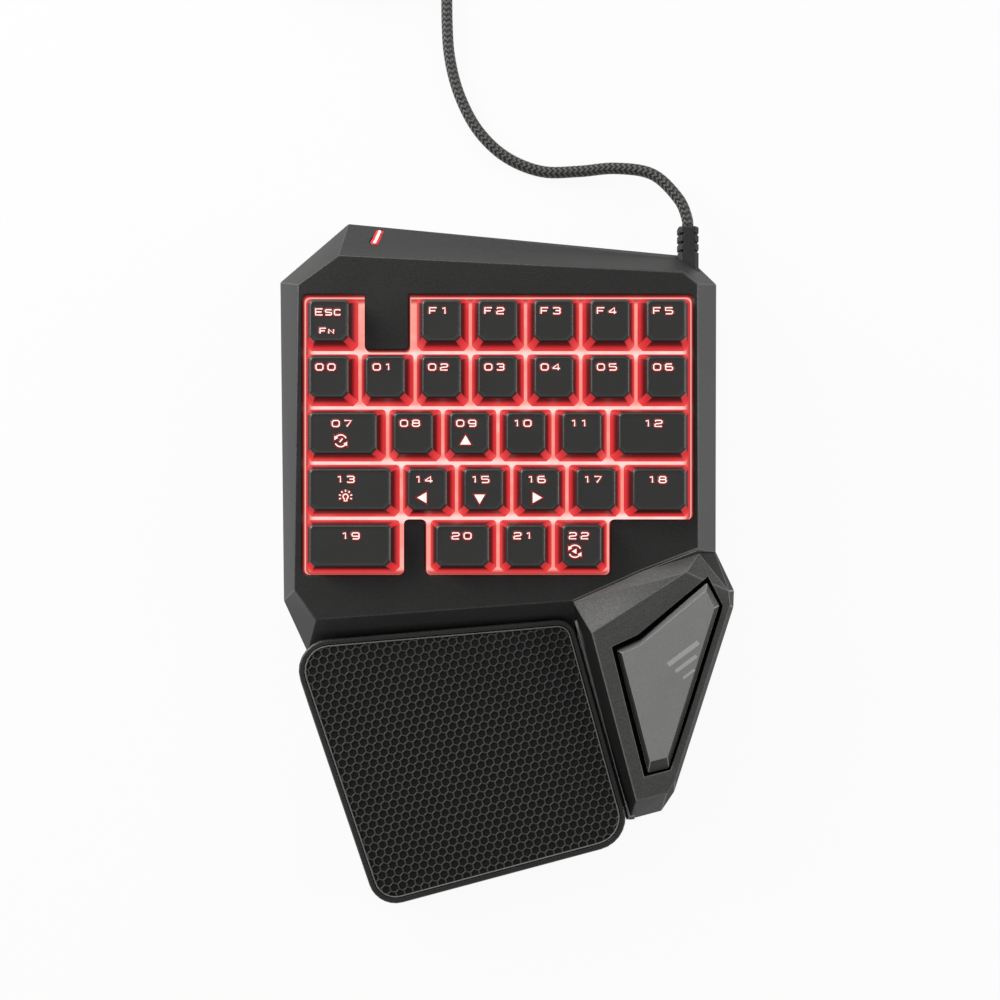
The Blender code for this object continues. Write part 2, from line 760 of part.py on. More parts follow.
def foot_places():
    places = {name: (field_spot(across, up, end * END_MARGIN), 0)
              for name, (across, up, end) in FOOT_SHARES.items()}
    places["foot_thumb"] = (module_point(*MODULE_FOOT_PAD_SHARES) - ORIGIN, math.pi / 2 + LEAN_ANGLE)
    return places


def make_bottom_cover():
    cover = loft("bottom_cover", (
        level(inset(lower_outline, DRAFT), UNDERSIDE),
        level(lower_outline, PARTING),
    ), "lower_plastic")
    cut(cover, loft("tray_inside", (
        level(inset(lower_outline, DRAFT + WALL), FLOOR_TOP),
        level(inset(lower_outline, WALL), PARTING + OVERRUN),
    )))
    spots = list(SCREWS.values())
    floor_middle = UNDERSIDE + FLOOR_THICKNESS / 2
    join(cover, cylinders("lower_bosses", spots, LOWER_BOSS_RADIUS, floor_middle, PARTING, BOSS_SIDES))
    posts = [field_spot(*shares) for shares in BOARD_POST_SHARES]
    for x_side, y_side in ((-1, -1), (1, -1), (1, 1), (-1, 1)):
        corner = Vector((x_side * THUMB_BOARD_WIDTH, y_side * THUMB_BOARD_DEPTH)) * THUMB_POST_SHARE
        posts.append(thumb_centre + Matrix.Rotation(LEAN_ANGLE, 2) @ corner)
    join(cover, cylinders("board_posts", posts, POST_RADIUS, floor_middle, BOARD_UNDERSIDE - CLEARANCE,
                          BOSS_SIDES))
    cut(cover, cylinders("head_holes", spots, SCREW_HEAD_RADIUS + CLEARANCE, 0,
                         UNDERSIDE + HEAD_DEPTH, SCREW_SIDES))
    cut(cover, cylinders("shank_holes", spots, SCREW_SHANK_RADIUS + CLEARANCE, 0, PARTING + OVERRUN,
                         SCREW_SIDES))
    for name, (centre, angle) in foot_places().items():
        cut(cover, foot_pad(name + "_recess", centre, angle, 0, UNDERSIDE + FOOT_RECESS, CLEARANCE))
    low = FLOOR_TOP + TONGUE_FLOOR_GAP
    cut(cover, tongue_block("tongue_slot", TONGUE_PLAY, TONGUE_CUT, -TONGUE_CUT,
                            low - TONGUE_PLAY, low + TONGUE_THICKNESS + TONGUE_PLAY))
    cut(cover, relief_notch())


def make_feet():
    for name, (centre, angle) in foot_places().items():
        foot_pad(name, centre, angle, 0, FOOT_HEIGHT, 0, "foot_rubber")


def make_screw(name, spot, seat):
    head_low = seat - CLEARANCE - SCREW_HEAD_HEIGHT
    screw = cylinders(name, [spot], SCREW_HEAD_RADIUS, head_low, seat - CLEARANCE, SCREW_SIDES,
                      "screw_steel")
    tip = seat + SCREW_LENGTH - CLEARANCE
    middle = seat - CLEARANCE - SCREW_HEAD_HEIGHT / 2
    join(screw, cylinders(name + "_shank", [spot], SCREW_SHANK_RADIUS, middle, tip, SCREW_SIDES))
    drive = SCREW_HEAD_HEIGHT / 2
    cut(screw, cylinders(name + "_drive", [spot], SCREW_SHANK_RADIUS, head_low - OVERRUN,
                         head_low + drive, 6))


# Keys and switches

def key_outline(half_width, half_depth):
    points = [
        Vector((KEY_CHAMFER - half_width, -half_depth)),
        Vector((half_width - KEY_CHAMFER, -half_depth)),
        Vector((half_width, KEY_CHAMFER - half_depth)),
    ]
    radius = KEY_CORNER_RADIUS
    for side, start in ((1, 0), (-1, math.pi / 2)):
        centre = Vector((side * (half_width - radius), half_depth - radius))
        for step in range(KEY_CORNER_STEPS + 1):
            angle = start + step * math.pi / 2 / KEY_CORNER_STEPS
            points.append(centre + radius * Vector((math.cos(angle), math.sin(angle))))
    points.append(Vector((-half_width, KEY_CHAMFER - half_depth)))
    return points


def make_key(name, centre, units):
    half_width = (units * KEY_PITCH - KEY_GAP) / 2
    half_depth = (KEY_PITCH - KEY_GAP) / 2
    top_width = half_width - KEY_TOP_SIDE
    top_depth = half_depth - KEY_TOP_FRONT
    top = SKIRT_HEIGHT + KEY_HEIGHT
    shoulder = KEY_SHOULDER / 2
    sections = (
        (top_width - KEY_WALL, top_depth - KEY_WALL, top - KEY_WALL - KEY_DISH),
        (half_width - KEY_WALL, half_depth - KEY_WALL, SKIRT_HEIGHT),
        (half_width, half_depth, SKIRT_HEIGHT),
        (top_width + shoulder, top_depth + shoulder, top - KEY_SHOULDER),
        (top_width - shoulder, top_depth - shoulder, top),
        (top_width - KEY_DISH_RIM, top_depth - KEY_DISH_RIM, top - KEY_DISH),
    )
    loops = []
    for width, depth, height in sections:
        loops.append(level([centre + point for point in key_outline(width, depth)], height))
    key = loft(name, loops, "keycap_plastic")
    roof_middle = top - KEY_DISH - KEY_WALL / 2
    half_stem = Vector((STEM_WIDTH / 2, STEM_DEPTH / 2))
    low = (*(centre - half_stem), STEM_BOTTOM)
    high = (*(centre + half_stem), roof_middle)
    join(key, box_between(name + "_stem", low, high))


def key_places():
    places = []
    for row, keys in enumerate(KEY_ROWS):
        height = FIELD_DEPTH - (row + 1) * KEY_PITCH + KEY_PITCH / 2
        for name, start, units in keys:
            middle = (start + units / 2) * KEY_PITCH
            places.append(("key_" + name, FIELD + Vector((middle, height)), units))
    return places


def square(centre, width, depth, height):
    corners = [Vector((-width / 2, -depth / 2)), Vector((width / 2, -depth / 2)),
               Vector((width / 2, depth / 2)), Vector((-width / 2, depth / 2))]
    return level([centre + corner for corner in corners], height)


def make_switch_plate(places):
    plate = prism("switch_plate", field_outline(PLATE_MARGIN), PLATE_TOP - PLATE_THICKNESS, PLATE_TOP,
                  "light_deck")
    housings = bmesh.new()
    holes = bmesh.new()
    for name, centre, units in places:
        fill_loft(housings, (
            square(centre, SWITCH_LOWER_WIDTH, SWITCH_LOWER_WIDTH, SWITCH_BOTTOM),
            square(centre, SWITCH_BASE_WIDTH, SWITCH_BASE_WIDTH, PLATE_TOP),
            square(centre, SWITCH_TOP_WIDTH, SWITCH_TOP_WIDTH, SWITCH_TOP),
        ))
        width = STEM_WIDTH + 2 * CLEARANCE
        depth = STEM_DEPTH + 2 * CLEARANCE
        fill_loft(holes, (
            square(centre, width, depth, STEM_HOLE_FLOOR),
            square(centre, width, depth, SWITCH_TOP + OVERRUN),
        ))
    join(plate, finish("switch_housings", housings))
    cut(plate, finish("stem_holes", holes))


def make_boards():
    prism("circuit_board", field_outline(-BOARD_INSET), BOARD_UNDERSIDE, BOARD_TOP, "board_green")
    half_width = THUMB_BOARD_WIDTH / 2
    half_depth = THUMB_BOARD_DEPTH / 2
    outline = turned_about(chamfered(half_width, half_depth, EDGE), thumb_centre, LEAN_ANGLE)
    prism("thumb_board", outline, BOARD_UNDERSIDE, BOARD_TOP, "board_green")


def leaned(corners):
    return [Vector((*turned_about([corner.xy - thumb_centre], thumb_centre, LEAN_ANGLE)[0], corner.z))
            for corner in corners]


def make_thumb_switch():
    switch = loft("thumb_switch", (
        leaned(square(thumb_centre, SWITCH_BASE_WIDTH, SWITCH_BASE_WIDTH, SWITCH_BOTTOM)),
        leaned(square(thumb_centre, SWITCH_BASE_WIDTH, SWITCH_BASE_WIDTH, PLATE_TOP)),
        leaned(square(thumb_centre, SWITCH_TOP_WIDTH, SWITCH_TOP_WIDTH, THUMB_SWITCH_TOP)),
    ), "switch_black")
    width = STEM_WIDTH + 2 * CLEARANCE
    depth = STEM_DEPTH + 2 * CLEARANCE
    cut(switch, loft("thumb_stem_hole", (
        leaned(square(thumb_centre, width, depth, STEM_HOLE_FLOOR)),
        leaned(square(thumb_centre, width, depth, THUMB_SWITCH_TOP + OVERRUN)),
    )))


def thumb_height(drop):
    front = FIELD.y + THUMB_WELL_SHARES[0][1] * MODULE_LENGTH

    def height(point):
        share = (FIELD.y - point.y) / (FIELD.y - front)
        return THUMB_REAR_TOP + (THUMB_FRONT_TOP - THUMB_REAR_TOP) * share - drop
    return height


def height_on(corners, point):
    first, second, third = corners
    normal = (second - first).cross(third - first)
    return first.z - (normal.xy.dot(point.xy) - normal.xy.dot(first.xy)) / normal.z


# The top has two facets. Its crease is raised where it starts at the rear, and each facet is flat.

def thumb_crown():
    crown = follow(thumb_top, thumb_height(0))
    front_left, front_right, right, tip, inner, rear_left = crown
    inner.z += THUMB_CREASE_RISE
    front_right.z = height_on((front_left, rear_left, inner), front_right)
    right.z = height_on((front_right, tip, inner), right)
    return crown


def make_thumb_key():
    inner = inset(thumb_body, THUMB_WALL)
    inner_top = inset(thumb_top, THUMB_WALL)
    under = THUMB_WALL + THUMB_BEVEL_DROP
    crown = thumb_crown()
    bm = bmesh.new()
    fill_loft(bm, (
        follow(inner_top, thumb_height(under)),
        level(inner, THUMB_SKIRT),
        level(thumb_body, THUMB_SKIRT),
        follow(thumb_body, thumb_height(THUMB_BEVEL_DROP)),
        crown,
    ))
    bm.verts.ensure_lookup_table()
    bm.faces.ensure_lookup_table()
    last_ring = bm.verts[-len(crown):]
    bmesh.utils.face_split(bm.faces[-1], last_ring[1], last_ring[4])
    key = finish("thumb_key", bm, "thumb_plastic")
    roof = thumb_height(under / 2)(thumb_centre)
    join(key, loft("thumb_stem", (
        leaned(square(thumb_centre, STEM_WIDTH, STEM_DEPTH, THUMB_STEM_BOTTOM)),
        leaned(square(thumb_centre, STEM_WIDTH, STEM_DEPTH, roof)),
    )))


# Palm rest

def rest_height(drop):
    rear = max(point.y for point in rest_outline)
    front = min(point.y for point in rest_outline)

    def height(point):
        share = (rear - point.y) / (rear - front)
        return REST_REAR_TOP + (REST_FRONT_TOP - REST_REAR_TOP) * share - drop
    return height


def rest_foot_outline(extra):
    corners = list(rest_corners)
    for index in (0, 1):
        corners[index] = corners[index] - Vector((0, REST_REAR_LEAN))
    corners = inset(corners, REST_DRAFT)
    return inset(rounded(corners, rest_radii, REST_CORNER_STEPS), extra)


def rest_spots(table):
    return [rest_corner + rest_point(*shares) for shares in table]


def make_palm_rest():
    base = loft("palm_rest_base", (
        level(rest_foot_outline(0), REST_UNDERSIDE),
        level(rest_foot_outline(0), REST_SHOULDER),
        follow(rest_outline, rest_height(EDGE)),
        follow(inset(rest_outline, EDGE), rest_height(0)),
    ), "rest_plastic")
    recess = inset(rest_outline, RIM_WIDTH)
    cut(base, loft("pad_recess", (
        follow(recess, rest_height(PAD_THICKNESS + CLEARANCE)),
        follow(recess, rest_height(-OVERRUN)),
    )))
    deck = PAD_THICKNESS + CLEARANCE + REST_DECK
    cut(base, loft("rest_inside", (
        level(rest_foot_outline(REST_WALL), REST_UNDERSIDE - OVERRUN),
        level(rest_foot_outline(REST_WALL), REST_SHOULDER - REST_WALL / 2),
        follow(inset(rest_outline, REST_WALL + EDGE), rest_height(deck)),
    )))
    spots = rest_spots(REST_SCREW_SHARES)
    plate_top = REST_UNDERSIDE + REST_PLATE_THICKNESS
    deck_middle = rest_height(deck - REST_DECK / 2)(spots[0])
    bosses = cylinders("rest_bosses", spots, BOSS_RADIUS, plate_top + CLEARANCE, deck_middle, BOSS_SIDES)
    join(base, bosses)
    low = FLOOR_TOP + TONGUE_FLOOR_GAP
    reach = REST_TRAVEL + TONGUE_STAY
    join(base, tongue_block("tongue", 0, reach, -REST_REAR_LEAN, low, low + TONGUE_THICKNESS))
    seat = REST_UNDERSIDE + SCREW_HEAD_HEIGHT + CLEARANCE
    cut(base, cylinders("rest_pilot_holes", spots, SCREW_SHANK_RADIUS + CLEARANCE, REST_UNDERSIDE,
                        deck_middle - REST_DECK, SCREW_SIDES))
    pad = inset(recess, CLEARANCE)
    loft("palm_rest_pad", (
        follow(pad, rest_height(PAD_THICKNESS)),
        follow(pad, rest_height(0)),
    ), "pad_rubber")
    plate = prism("palm_rest_bottom", rest_foot_outline(REST_WALL + 2 * CLEARANCE), REST_UNDERSIDE,
                  plate_top, "lower_plastic")
    cut(plate, cylinders("rest_head_holes", spots, SCREW_HEAD_RADIUS + CLEARANCE, 0, seat, SCREW_SIDES))
    cut(plate, cylinders("rest_shank_holes", spots, SCREW_SHANK_RADIUS + CLEARANCE, 0,
                         plate_top + OVERRUN, SCREW_SIDES))
    for name, shares in REST_FOOT_SHARES.items():
        spot = rest_corner + rest_point(*shares)
        cut(plate, foot_pad(name + "_recess", spot, 0, 0, REST_UNDERSIDE + FOOT_RECESS, CLEARANCE))
        foot_pad(name, spot, 0, 0, REST_UNDERSIDE + FOOT_RECESS - CLEARANCE, 0, "foot_rubber")
    return spots, seat, deck_middle


def make_rest_screw(name, spot, seat, tip):
    head_low = seat - CLEARANCE - SCREW_HEAD_HEIGHT
    screw = cylinders(name, [spot], SCREW_HEAD_RADIUS, head_low, seat - CLEARANCE, SCREW_SIDES,
                      "screw_steel")
    middle = seat - CLEARANCE - SCREW_HEAD_HEIGHT / 2
    join(screw, cylinders(name + "_shank", [spot], SCREW_SHANK_RADIUS, middle, tip, SCREW_SIDES))


# Strain relief, cord and plug

def make_strain_relief():
    start = RELIEF_TIP - RELIEF_LENGTH
    half_width = RELIEF_WIDTH / 2
    half_height = RELIEF_HEIGHT / 2
    wide = half_width + FLANGE_OVERHANG
    tall = half_height + FLANGE_OVERHANG
    flange_end = start + FLANGE_THICKNESS
    relief = loft("strain_relief", (
        relief_section(half_width, half_height, RELIEF_CHAMFER, start),
        relief_section(half_width, half_height, RELIEF_CHAMFER, RELIEF_TIP - EDGE),
        relief_section(half_width - EDGE, half_height - EDGE, RELIEF_CHAMFER, RELIEF_TIP),
    ), "plug_plastic")
    join(relief, loft("relief_flange", (
        relief_section(wide, tall, RELIEF_CHAMFER, start - FLANGE_THICKNESS),
        relief_section(wide, tall, RELIEF_CHAMFER, flange_end - FLANGE_THICKNESS + EDGE),
    )))
    slots = bmesh.new()
    middle = FIELD.x + FIELD_WIDTH
    height = PARTING + CLEARANCE / 2
    for number in range(RELIEF_SLOTS):
        place = RELIEF_TIP - RELIEF_FIRST_SLOT - number * RELIEF_SLOT_PITCH
        for side in (-1, 1):
            edge = middle + side * half_width
            inner = edge - side * RELIEF_SLOT_DEPTH
            outer = edge + side * OVERRUN
            low = Vector((min(inner, outer), place - RELIEF_SLOT_WIDTH))
            high = Vector((max(inner, outer), place))
            corners = [low, Vector((high.x, low.y)), high, Vector((low.x, high.y))]
            fill_loft(slots, (level(corners, height - tall), level(corners, height + tall)))
    cut(relief, finish("relief_slots", slots))


def curve_through(points, step):
    padded = [points[0] * 2 - points[1], *points, points[-1] * 2 - points[-2]]
    result = []
    for before, start, end, after in zip(padded, padded[1:], padded[2:], padded[3:]):
        pieces = max(1, round((end - start).length / step))
        for number in range(pieces):
            share = number / pieces
            result.append(0.5 * (2 * start + (end - before) * share
                                 + (2 * before - 5 * start + 4 * end - after) * share ** 2
                                 + (3 * start - before - 3 * end + after) * share ** 3))
    result.append(points[-1])
    return result


def tube(name, points, resolution, material):
    curve = bpy.data.curves.new(name, "CURVE")
    curve.dimensions = "3D"
    curve.bevel_depth = CORD_RADIUS
    curve.bevel_resolution = resolution
    curve.use_fill_caps = True
    spline = curve.splines.new("POLY")
    spline.points.add(len(points) - 1)
    for spot, point in zip(spline.points, points):
        spot.co = (*point, 1)
    holder = bpy.data.objects.new(name, curve)
    PARTS.objects.link(holder)
    mesh = bpy.data.meshes.new_from_object(holder.evaluated_get(bpy.context.evaluated_depsgraph_get()))
    bpy.data.objects.remove(holder, do_unlink=True)
    bm = bmesh.new()
    bm.from_mesh(mesh)
    bmesh.ops.remove_doubles(bm, verts=bm.verts, dist=CORD_LIFT / 10)
    item = finish(name, bm, material)
    item.data.shade_smooth()
    return item


def route_length(points):
    return sum((after - before).length for before, after in zip(points, points[1:]))


EXIT = Vector((FIELD.x + FIELD_WIDTH, RELIEF_TIP, PARTING + CLEARANCE / 2))
COIL_START = EXIT + Vector((*COIL_ENTRY, 0))
COIL_START.z = CORD_RADIUS + CORD_LIFT
OUTER_RADIUS = COIL_INNER_RADIUS + COIL_PITCH * COIL_TURNS


def lead_points():
    route = [EXIT + Vector(offset) for offset in CORD_ROUTE]
    route[0].y += CLEARANCE
    route.append(COIL_START - Vector((0, CORD_DIAMETER + CLEARANCE, 0)))
    for point in route:
        point.z = max(point.z, COIL_START.z)
    return curve_through(route, LEAD_STEP)


# Two piled layers: the lower spirals in and the upper spirals out again. The cord climbs in the
# half turn round the place where the spiral reverses.

def coil_points():
    centre = COIL_START - Vector((OUTER_RADIUS, 0, 0))
    total = 2 * COIL_TURNS * COIL_POINTS
    points = [COIL_START - Vector((0, CORD_DIAMETER, 0))]
    for number in range(total + 1):
        turns = number / COIL_POINTS
        from_middle = turns - COIL_TURNS
        radius = COIL_INNER_RADIUS + COIL_PITCH * abs(from_middle)
        climb = min(max(from_middle * 2 + 0.5, 0), 1)
        height = COIL_PITCH * climb * climb * (3 - 2 * climb)
        angle = turns * 2 * math.pi
        points.append(centre + Vector((radius * math.cos(angle), radius * math.sin(angle), height)))
    return points + tail_points(points[-1])


# Past its last turn the cord eases down until the plug lies on the desk.

def tail_points(start):
    drop = start.z - PLUG_BODY_HEIGHT / 2 - CORD_LIFT
    points = []
    for number in range(1, TAIL_STEPS + 1):
        share = number / TAIL_STEPS
        ease = share * share * (3 - 2 * share)
        points.append(start + Vector((TAIL_SIDE * ease, TAIL_LENGTH * share, -drop * ease)))
    points.append(points[-1] + Vector((0, CORD_DIAMETER, 0)))
    return points


def least_gap(points):
    dense = []
    for before, after in zip(points, points[1:]):
        dense.extend(before.lerp(after, share / 3) for share in range(3))
    skip = 3 * COIL_POINTS // 2
    nearest = min((here - there).length
                  for index, here in enumerate(dense) for there in dense[index + skip:])
    return nearest - CORD_DIAMETER


def make_cord():
    lead = lead_points()
    coil = coil_points()
    tube("cord_lead", lead, 2, "braided_cord")
    tube("cord_coil", coil, 1, "braided_cord")
    print("cord lead mm", round(route_length(lead) * 1000, 1), "points", len(lead))
    print("cord coil mm", round(route_length(coil) * 1000, 1), "points", len(coil))
    print("least gap between turns mm", round(least_gap(coil) * 1000, 3))
    return coil[-1]


def plug_section(end, half_width, half_height, chamfer, place):
    return [end + Vector((point.x, place, point.y))
            for point in chamfered(half_width, half_height, chamfer)]


def make_plug(end):
    start = CLEARANCE
    neck = start + PLUG_NECK_LENGTH
    back = start + PLUG_BODY_LENGTH
    half_width = PLUG_BODY_WIDTH / 2
    half_height = PLUG_BODY_HEIGHT / 2
    half_neck = PLUG_NECK_WIDTH / 2
    loft("usb_plug_body", (
        plug_section(end, half_neck - EDGE, half_neck - EDGE, PLUG_CHAMFER, start),
        plug_section(end, half_neck, half_neck, PLUG_CHAMFER, neck),
        plug_section(end, half_width, half_height, PLUG_CHAMFER, neck + PLUG_NECK_LENGTH / 2),
        plug_section(end, half_width, half_height, PLUG_CHAMFER, back - EDGE),
        plug_section(end, half_width - EDGE, half_height - EDGE, PLUG_CHAMFER, back),
    ), "plug_plastic")
    shell_start = back + CLEARANCE
    shell_end = shell_start + PLUG_SHELL_LENGTH
    wide = PLUG_SHELL_WIDTH / 2
    tall = PLUG_SHELL_HEIGHT / 2
    shell = loft("usb_plug_shell", (
        plug_section(end, wide, tall, EDGE, shell_start),
        plug_section(end, wide, tall, EDGE, shell_end),
    ), "plug_metal")
    inner_wide = wide - PLUG_SHELL_WALL
    inner_tall = tall - PLUG_SHELL_WALL
    cavity = shell_start + PLUG_SHELL_BACK
    cut(shell, loft("plug_mouth", (
        plug_section(end, inner_wide, inner_tall, EDGE, cavity),
        plug_section(end, inner_wide, inner_tall, EDGE, shell_end + OVERRUN),
    )))
    ceiling = inner_tall - CLEARANCE
    low = end + Vector((CLEARANCE - inner_wide, cavity + CLEARANCE, ceiling - PLUG_TONGUE_THICKNESS))
    high = end + Vector((inner_wide - CLEARANCE, cavity + PLUG_TONGUE_LENGTH, ceiling))
    box_between("usb_plug_tongue", low, high, "plug_plastic")


def make_all():
    make_top_cover()
    make_bottom_cover()
    make_feet()
    for name, spot in SCREWS.items():
        make_screw("screw_" + name, spot, UNDERSIDE + HEAD_DEPTH)
    places = key_places()
    make_switch_plate(places)
    make_boards()
    make_thumb_switch()
    make_thumb_key()
    for name, centre, units in places:
        make_key(name, centre, units)
    light_block("status_light", 0, "red_lens")
    spots, seat, tip = make_palm_rest()
    for side, spot in zip(("left", "right"), spots):
        make_rest_screw("rest_screw_" + side, spot, seat, tip - REST_DECK - CLEARANCE)
    make_strain_relief()
    make_plug(make_cord())


make_all()
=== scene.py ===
import math

import bmesh
import bpy
from mathutils import Matrix, Vector


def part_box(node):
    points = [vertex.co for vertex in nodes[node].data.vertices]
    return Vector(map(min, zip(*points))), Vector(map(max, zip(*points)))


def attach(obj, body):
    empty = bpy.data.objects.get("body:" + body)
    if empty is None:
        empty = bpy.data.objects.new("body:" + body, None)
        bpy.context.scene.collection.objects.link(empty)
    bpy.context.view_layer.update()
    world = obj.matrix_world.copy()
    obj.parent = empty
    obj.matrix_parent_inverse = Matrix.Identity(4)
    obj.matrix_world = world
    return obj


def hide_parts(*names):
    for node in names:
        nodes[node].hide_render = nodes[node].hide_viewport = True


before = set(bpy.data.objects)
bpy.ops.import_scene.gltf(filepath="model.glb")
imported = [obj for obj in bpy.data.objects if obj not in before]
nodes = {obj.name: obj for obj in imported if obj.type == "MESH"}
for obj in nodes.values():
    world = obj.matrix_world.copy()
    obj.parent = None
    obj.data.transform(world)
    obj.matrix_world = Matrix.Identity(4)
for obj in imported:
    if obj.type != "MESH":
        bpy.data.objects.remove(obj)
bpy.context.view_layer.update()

mm = 0.001
scene = bpy.context.scene


def tint(red, green, blue):
    # a colour as a picture editor shows it, turned into the shader's own scale
    def straight(level):
        share = level / 255
        return share / 12.92 if share <= 0.04045 else ((share + 0.055) / 1.055) ** 2.4
    return (straight(red), straight(green), straight(blue), 1)


def placed(name, data):
    holder = bpy.data.objects.new(name, data)
    scene.collection.objects.link(holder)
    return holder


# camera, from straight above with the picture's up along +Y

camera = {
    "lens": 51.84,
    "sensor_width": 36,
    "sensor_fit": "HORIZONTAL",
    "shift_x": -0.015,
    "shift_y": 0.058,
    "clip_start": 0.01,
}
cameraSpot = (0.00275, 0.00162, 0.515)


def placeCamera():
    lens = bpy.data.cameras.new("deskCamera")
    for key, value in camera.items():
        setattr(lens, key, value)
    scene.camera = placed("deskCamera", lens)
    scene.camera.location = cameraSpot
    scene.view_settings.view_transform = "Standard"


placeCamera()


# shader sums are written as plain expressions on these

class Wire:
    def __init__(self, recipe, socket):
        self.recipe = recipe
        self.socket = socket

    def maths(self, operation, *others):
        return self.recipe.maths(operation, self, *others)

    def __add__(self, other):
        return self.maths("ADD", other)

    def __sub__(self, other):
        return self.maths("SUBTRACT", other)

    def __rsub__(self, other):
        return self.recipe.maths("SUBTRACT", other, self)

    def __mul__(self, other):
        return self.maths("MULTIPLY", other)

    def __truediv__(self, other):
        return self.maths("DIVIDE", other)

    def __pow__(self, other):
        return self.maths("POWER", other)

    def __abs__(self):
        return self.maths("ABSOLUTE")

    __radd__ = __add__
    __rmul__ = __mul__

    def between(self, low, high):
        settings = {"interpolation_type": "SMOOTHSTEP", "clamp": True}
        return self.recipe.node("ShaderNodeMapRange", settings,
                                {"Value": self, "From Min": low, "From Max": high})

    def held(self):
        return self.maths("MAXIMUM", 0).maths("MINIMUM", 1)

    def part(self, letter):
        return self.recipe.node("ShaderNodeSeparateXYZ", {}, {"Vector": self}, letter)


class Recipe:
    def __init__(self, name, looks=None):
        self.material = bpy.data.materials.new(name)
        self.material.use_nodes = True
        self.tree = self.material.node_tree
        self.shader = self.tree.nodes["Principled BSDF"]
        self.exit = self.tree.nodes["Material Output"]
        self.feed(looks or {})

    def connect(self, socket, value):
        if isinstance(value, Wire):
            self.tree.links.new(value.socket, socket)
        else:
            socket.default_value = value

    def feed(self, looks):
        for name, value in looks.items():
            self.connect(self.shader.inputs[name], value)

    def node(self, kind, settings=None, inputs=None, output=0):
        made = self.tree.nodes.new(kind)
        for key, value in (settings or {}).items():
            setattr(made, key, value)
        for key, value in (inputs or {}).items():
            self.connect(made.inputs[key], value)
        return Wire(self, made.outputs[output])

    def maths(self, operation, *values):
        return self.node("ShaderNodeMath", {"operation": operation}, dict(enumerate(values)))

    def place(self):
        return self.node("ShaderNodeTexCoord", {}, {}, "Object")

    def uv(self):
        return self.node("ShaderNodeTexCoord", {}, {}, "UV")

    def facing(self):
        return self.node("ShaderNodeNewGeometry", {}, {}, "True Normal")

    def noise(self, scale, detail=2, rough=0.5, where=None):
        return self.node("ShaderNodeTexNoise", {}, {"Vector": where or self.place(), "Scale": scale,
                                                    "Detail": detail, "Roughness": rough}, "Fac")

    def mix(self, factor, first, second, blend="MIX"):
        return self.node("ShaderNodeMix", {"data_type": "RGBA", "blend_type": blend},
                         {0: factor, 6: first, 7: second}, 2)

    def ramp(self, value, stops):
        made = self.node("ShaderNodeValToRGB", {}, {"Fac": value}, "Color")
        elements = made.socket.node.color_ramp.elements
        while len(elements) < len(stops):
            elements.new(0.5)
        for element, (place, colour) in zip(elements, stops):
            element.position = place
            element.color = colour
        return made

    def bump(self, height, distance, strength=1.0):
        return self.node("ShaderNodeBump", {}, {"Height": height, "Distance": distance,
                                                "Strength": strength}, "Normal")


def moulded(name, facts):
    # moulded plastic: colour that drifts slowly, a fine speckle, and a spark-eroded grain
    recipe = Recipe(name, {"IOR": 1.5, "Metallic": 0})
    drift = recipe.noise(facts["driftScale"], 3, 0.6)
    speckle = recipe.noise(facts["speckleScale"], 1, 0.6)
    grain = recipe.noise(facts["grainScale"], 2, 0.55)
    level = (drift - 0.5) * facts["drift"] + (speckle - 0.5) * facts["speckle"] + 0.5
    colour = recipe.mix(level.held(), facts["dark"], facts["light"])
    rough = facts["rough"] + (drift - 0.5) * facts["roughDrift"]
    recipe.feed({"Base Color": colour, "Roughness": rough + (speckle - 0.5) * facts["roughSpeckle"],
                 "Normal": recipe.bump(grain, facts["grainDepth"])})
    recipe.colour = colour
    return recipe


# the cord: braid over its whole route, which repeats the CAD's route point for point

cordFacts = {
    "diameter": 4.0 * mm,
    "lift": 0.05 * mm,
    "clearance": 0.3 * mm,
    "leadStep": 1.5 * mm,
    "route": (  # from the tip of the strain relief, in metres
        (0, 0, 0), (-0.0002, 0.0030, 0), (-0.0032, 0.0102, -0.0004), (-0.0122, 0.0192, -0.0018),
        (-0.0252, 0.0218, -0.0036), (-0.0382, 0.0211, -0.0051), (-0.0513, 0.0213, -0.0059),
        (-0.0639, 0.0264, -0.00605), (-0.0737, 0.0356, -0.00605), (-0.0803, 0.0478, -0.00605),
        (-0.0839, 0.0610, -0.00605), (-0.0850, 0.0750, -0.00605), (-0.0850, 0.0980, -0.00605),
    ),
    "coilEntry": (-0.0850, 0.1250),
    "coilPitch": 4.6 * mm,
    "coilTurns": 5,
    "coilPoints": 96,
    "coilInner": 13.5 * mm,
    "tailLength": 32 * mm,
    "tailSide": 2.4 * mm,
    "tailSteps": 20,
    "plugHeight": 8.0 * mm,
    "meshStep": 1.5 * mm,
    "sides": 16,
    # the three tones below paint shade in the braid's hollows and a highlight on the threads' tops
    "dark": tint(9, 9, 9),
    "middle": tint(34, 34, 33),
    "bright": tint(118, 117, 114),
    "carriers": 6,  # braid threads that run each way round
    "lay": 11.4 * mm,  # length of one turn of a thread
    "roundness": 0.7,  # of a thread's section, 1 for a plain ridge
    "rises": (0.35, 0.65),  # where a thread comes up, and where it goes down again
    "falls": (0.85, 1.0),
    "fuzzScale": 6000,
    "fuzz": 0.2,
    "rough": 0.58,
    "polish": 0.22,  # how much smoother the tops of the threads are
    "braidDepth": 0.32 * mm,
}


def curveThrough(points, step):
    padded = [points[0] * 2 - points[1], *points, points[-1] * 2 - points[-2]]
    result = []
    for before, start, end, after in zip(padded, padded[1:], padded[2:], padded[3:]):
        pieces = max(1, round((end - start).length / step))
        for number in range(pieces):
            share = number / pieces
            result.append(0.5 * (2 * start + (end - before) * share
                                 + (2 * before - 5 * start + 4 * end - after) * share ** 2
                                 + (3 * start - before - 3 * end + after) * share ** 3))
    result.append(points[-1])
    return result


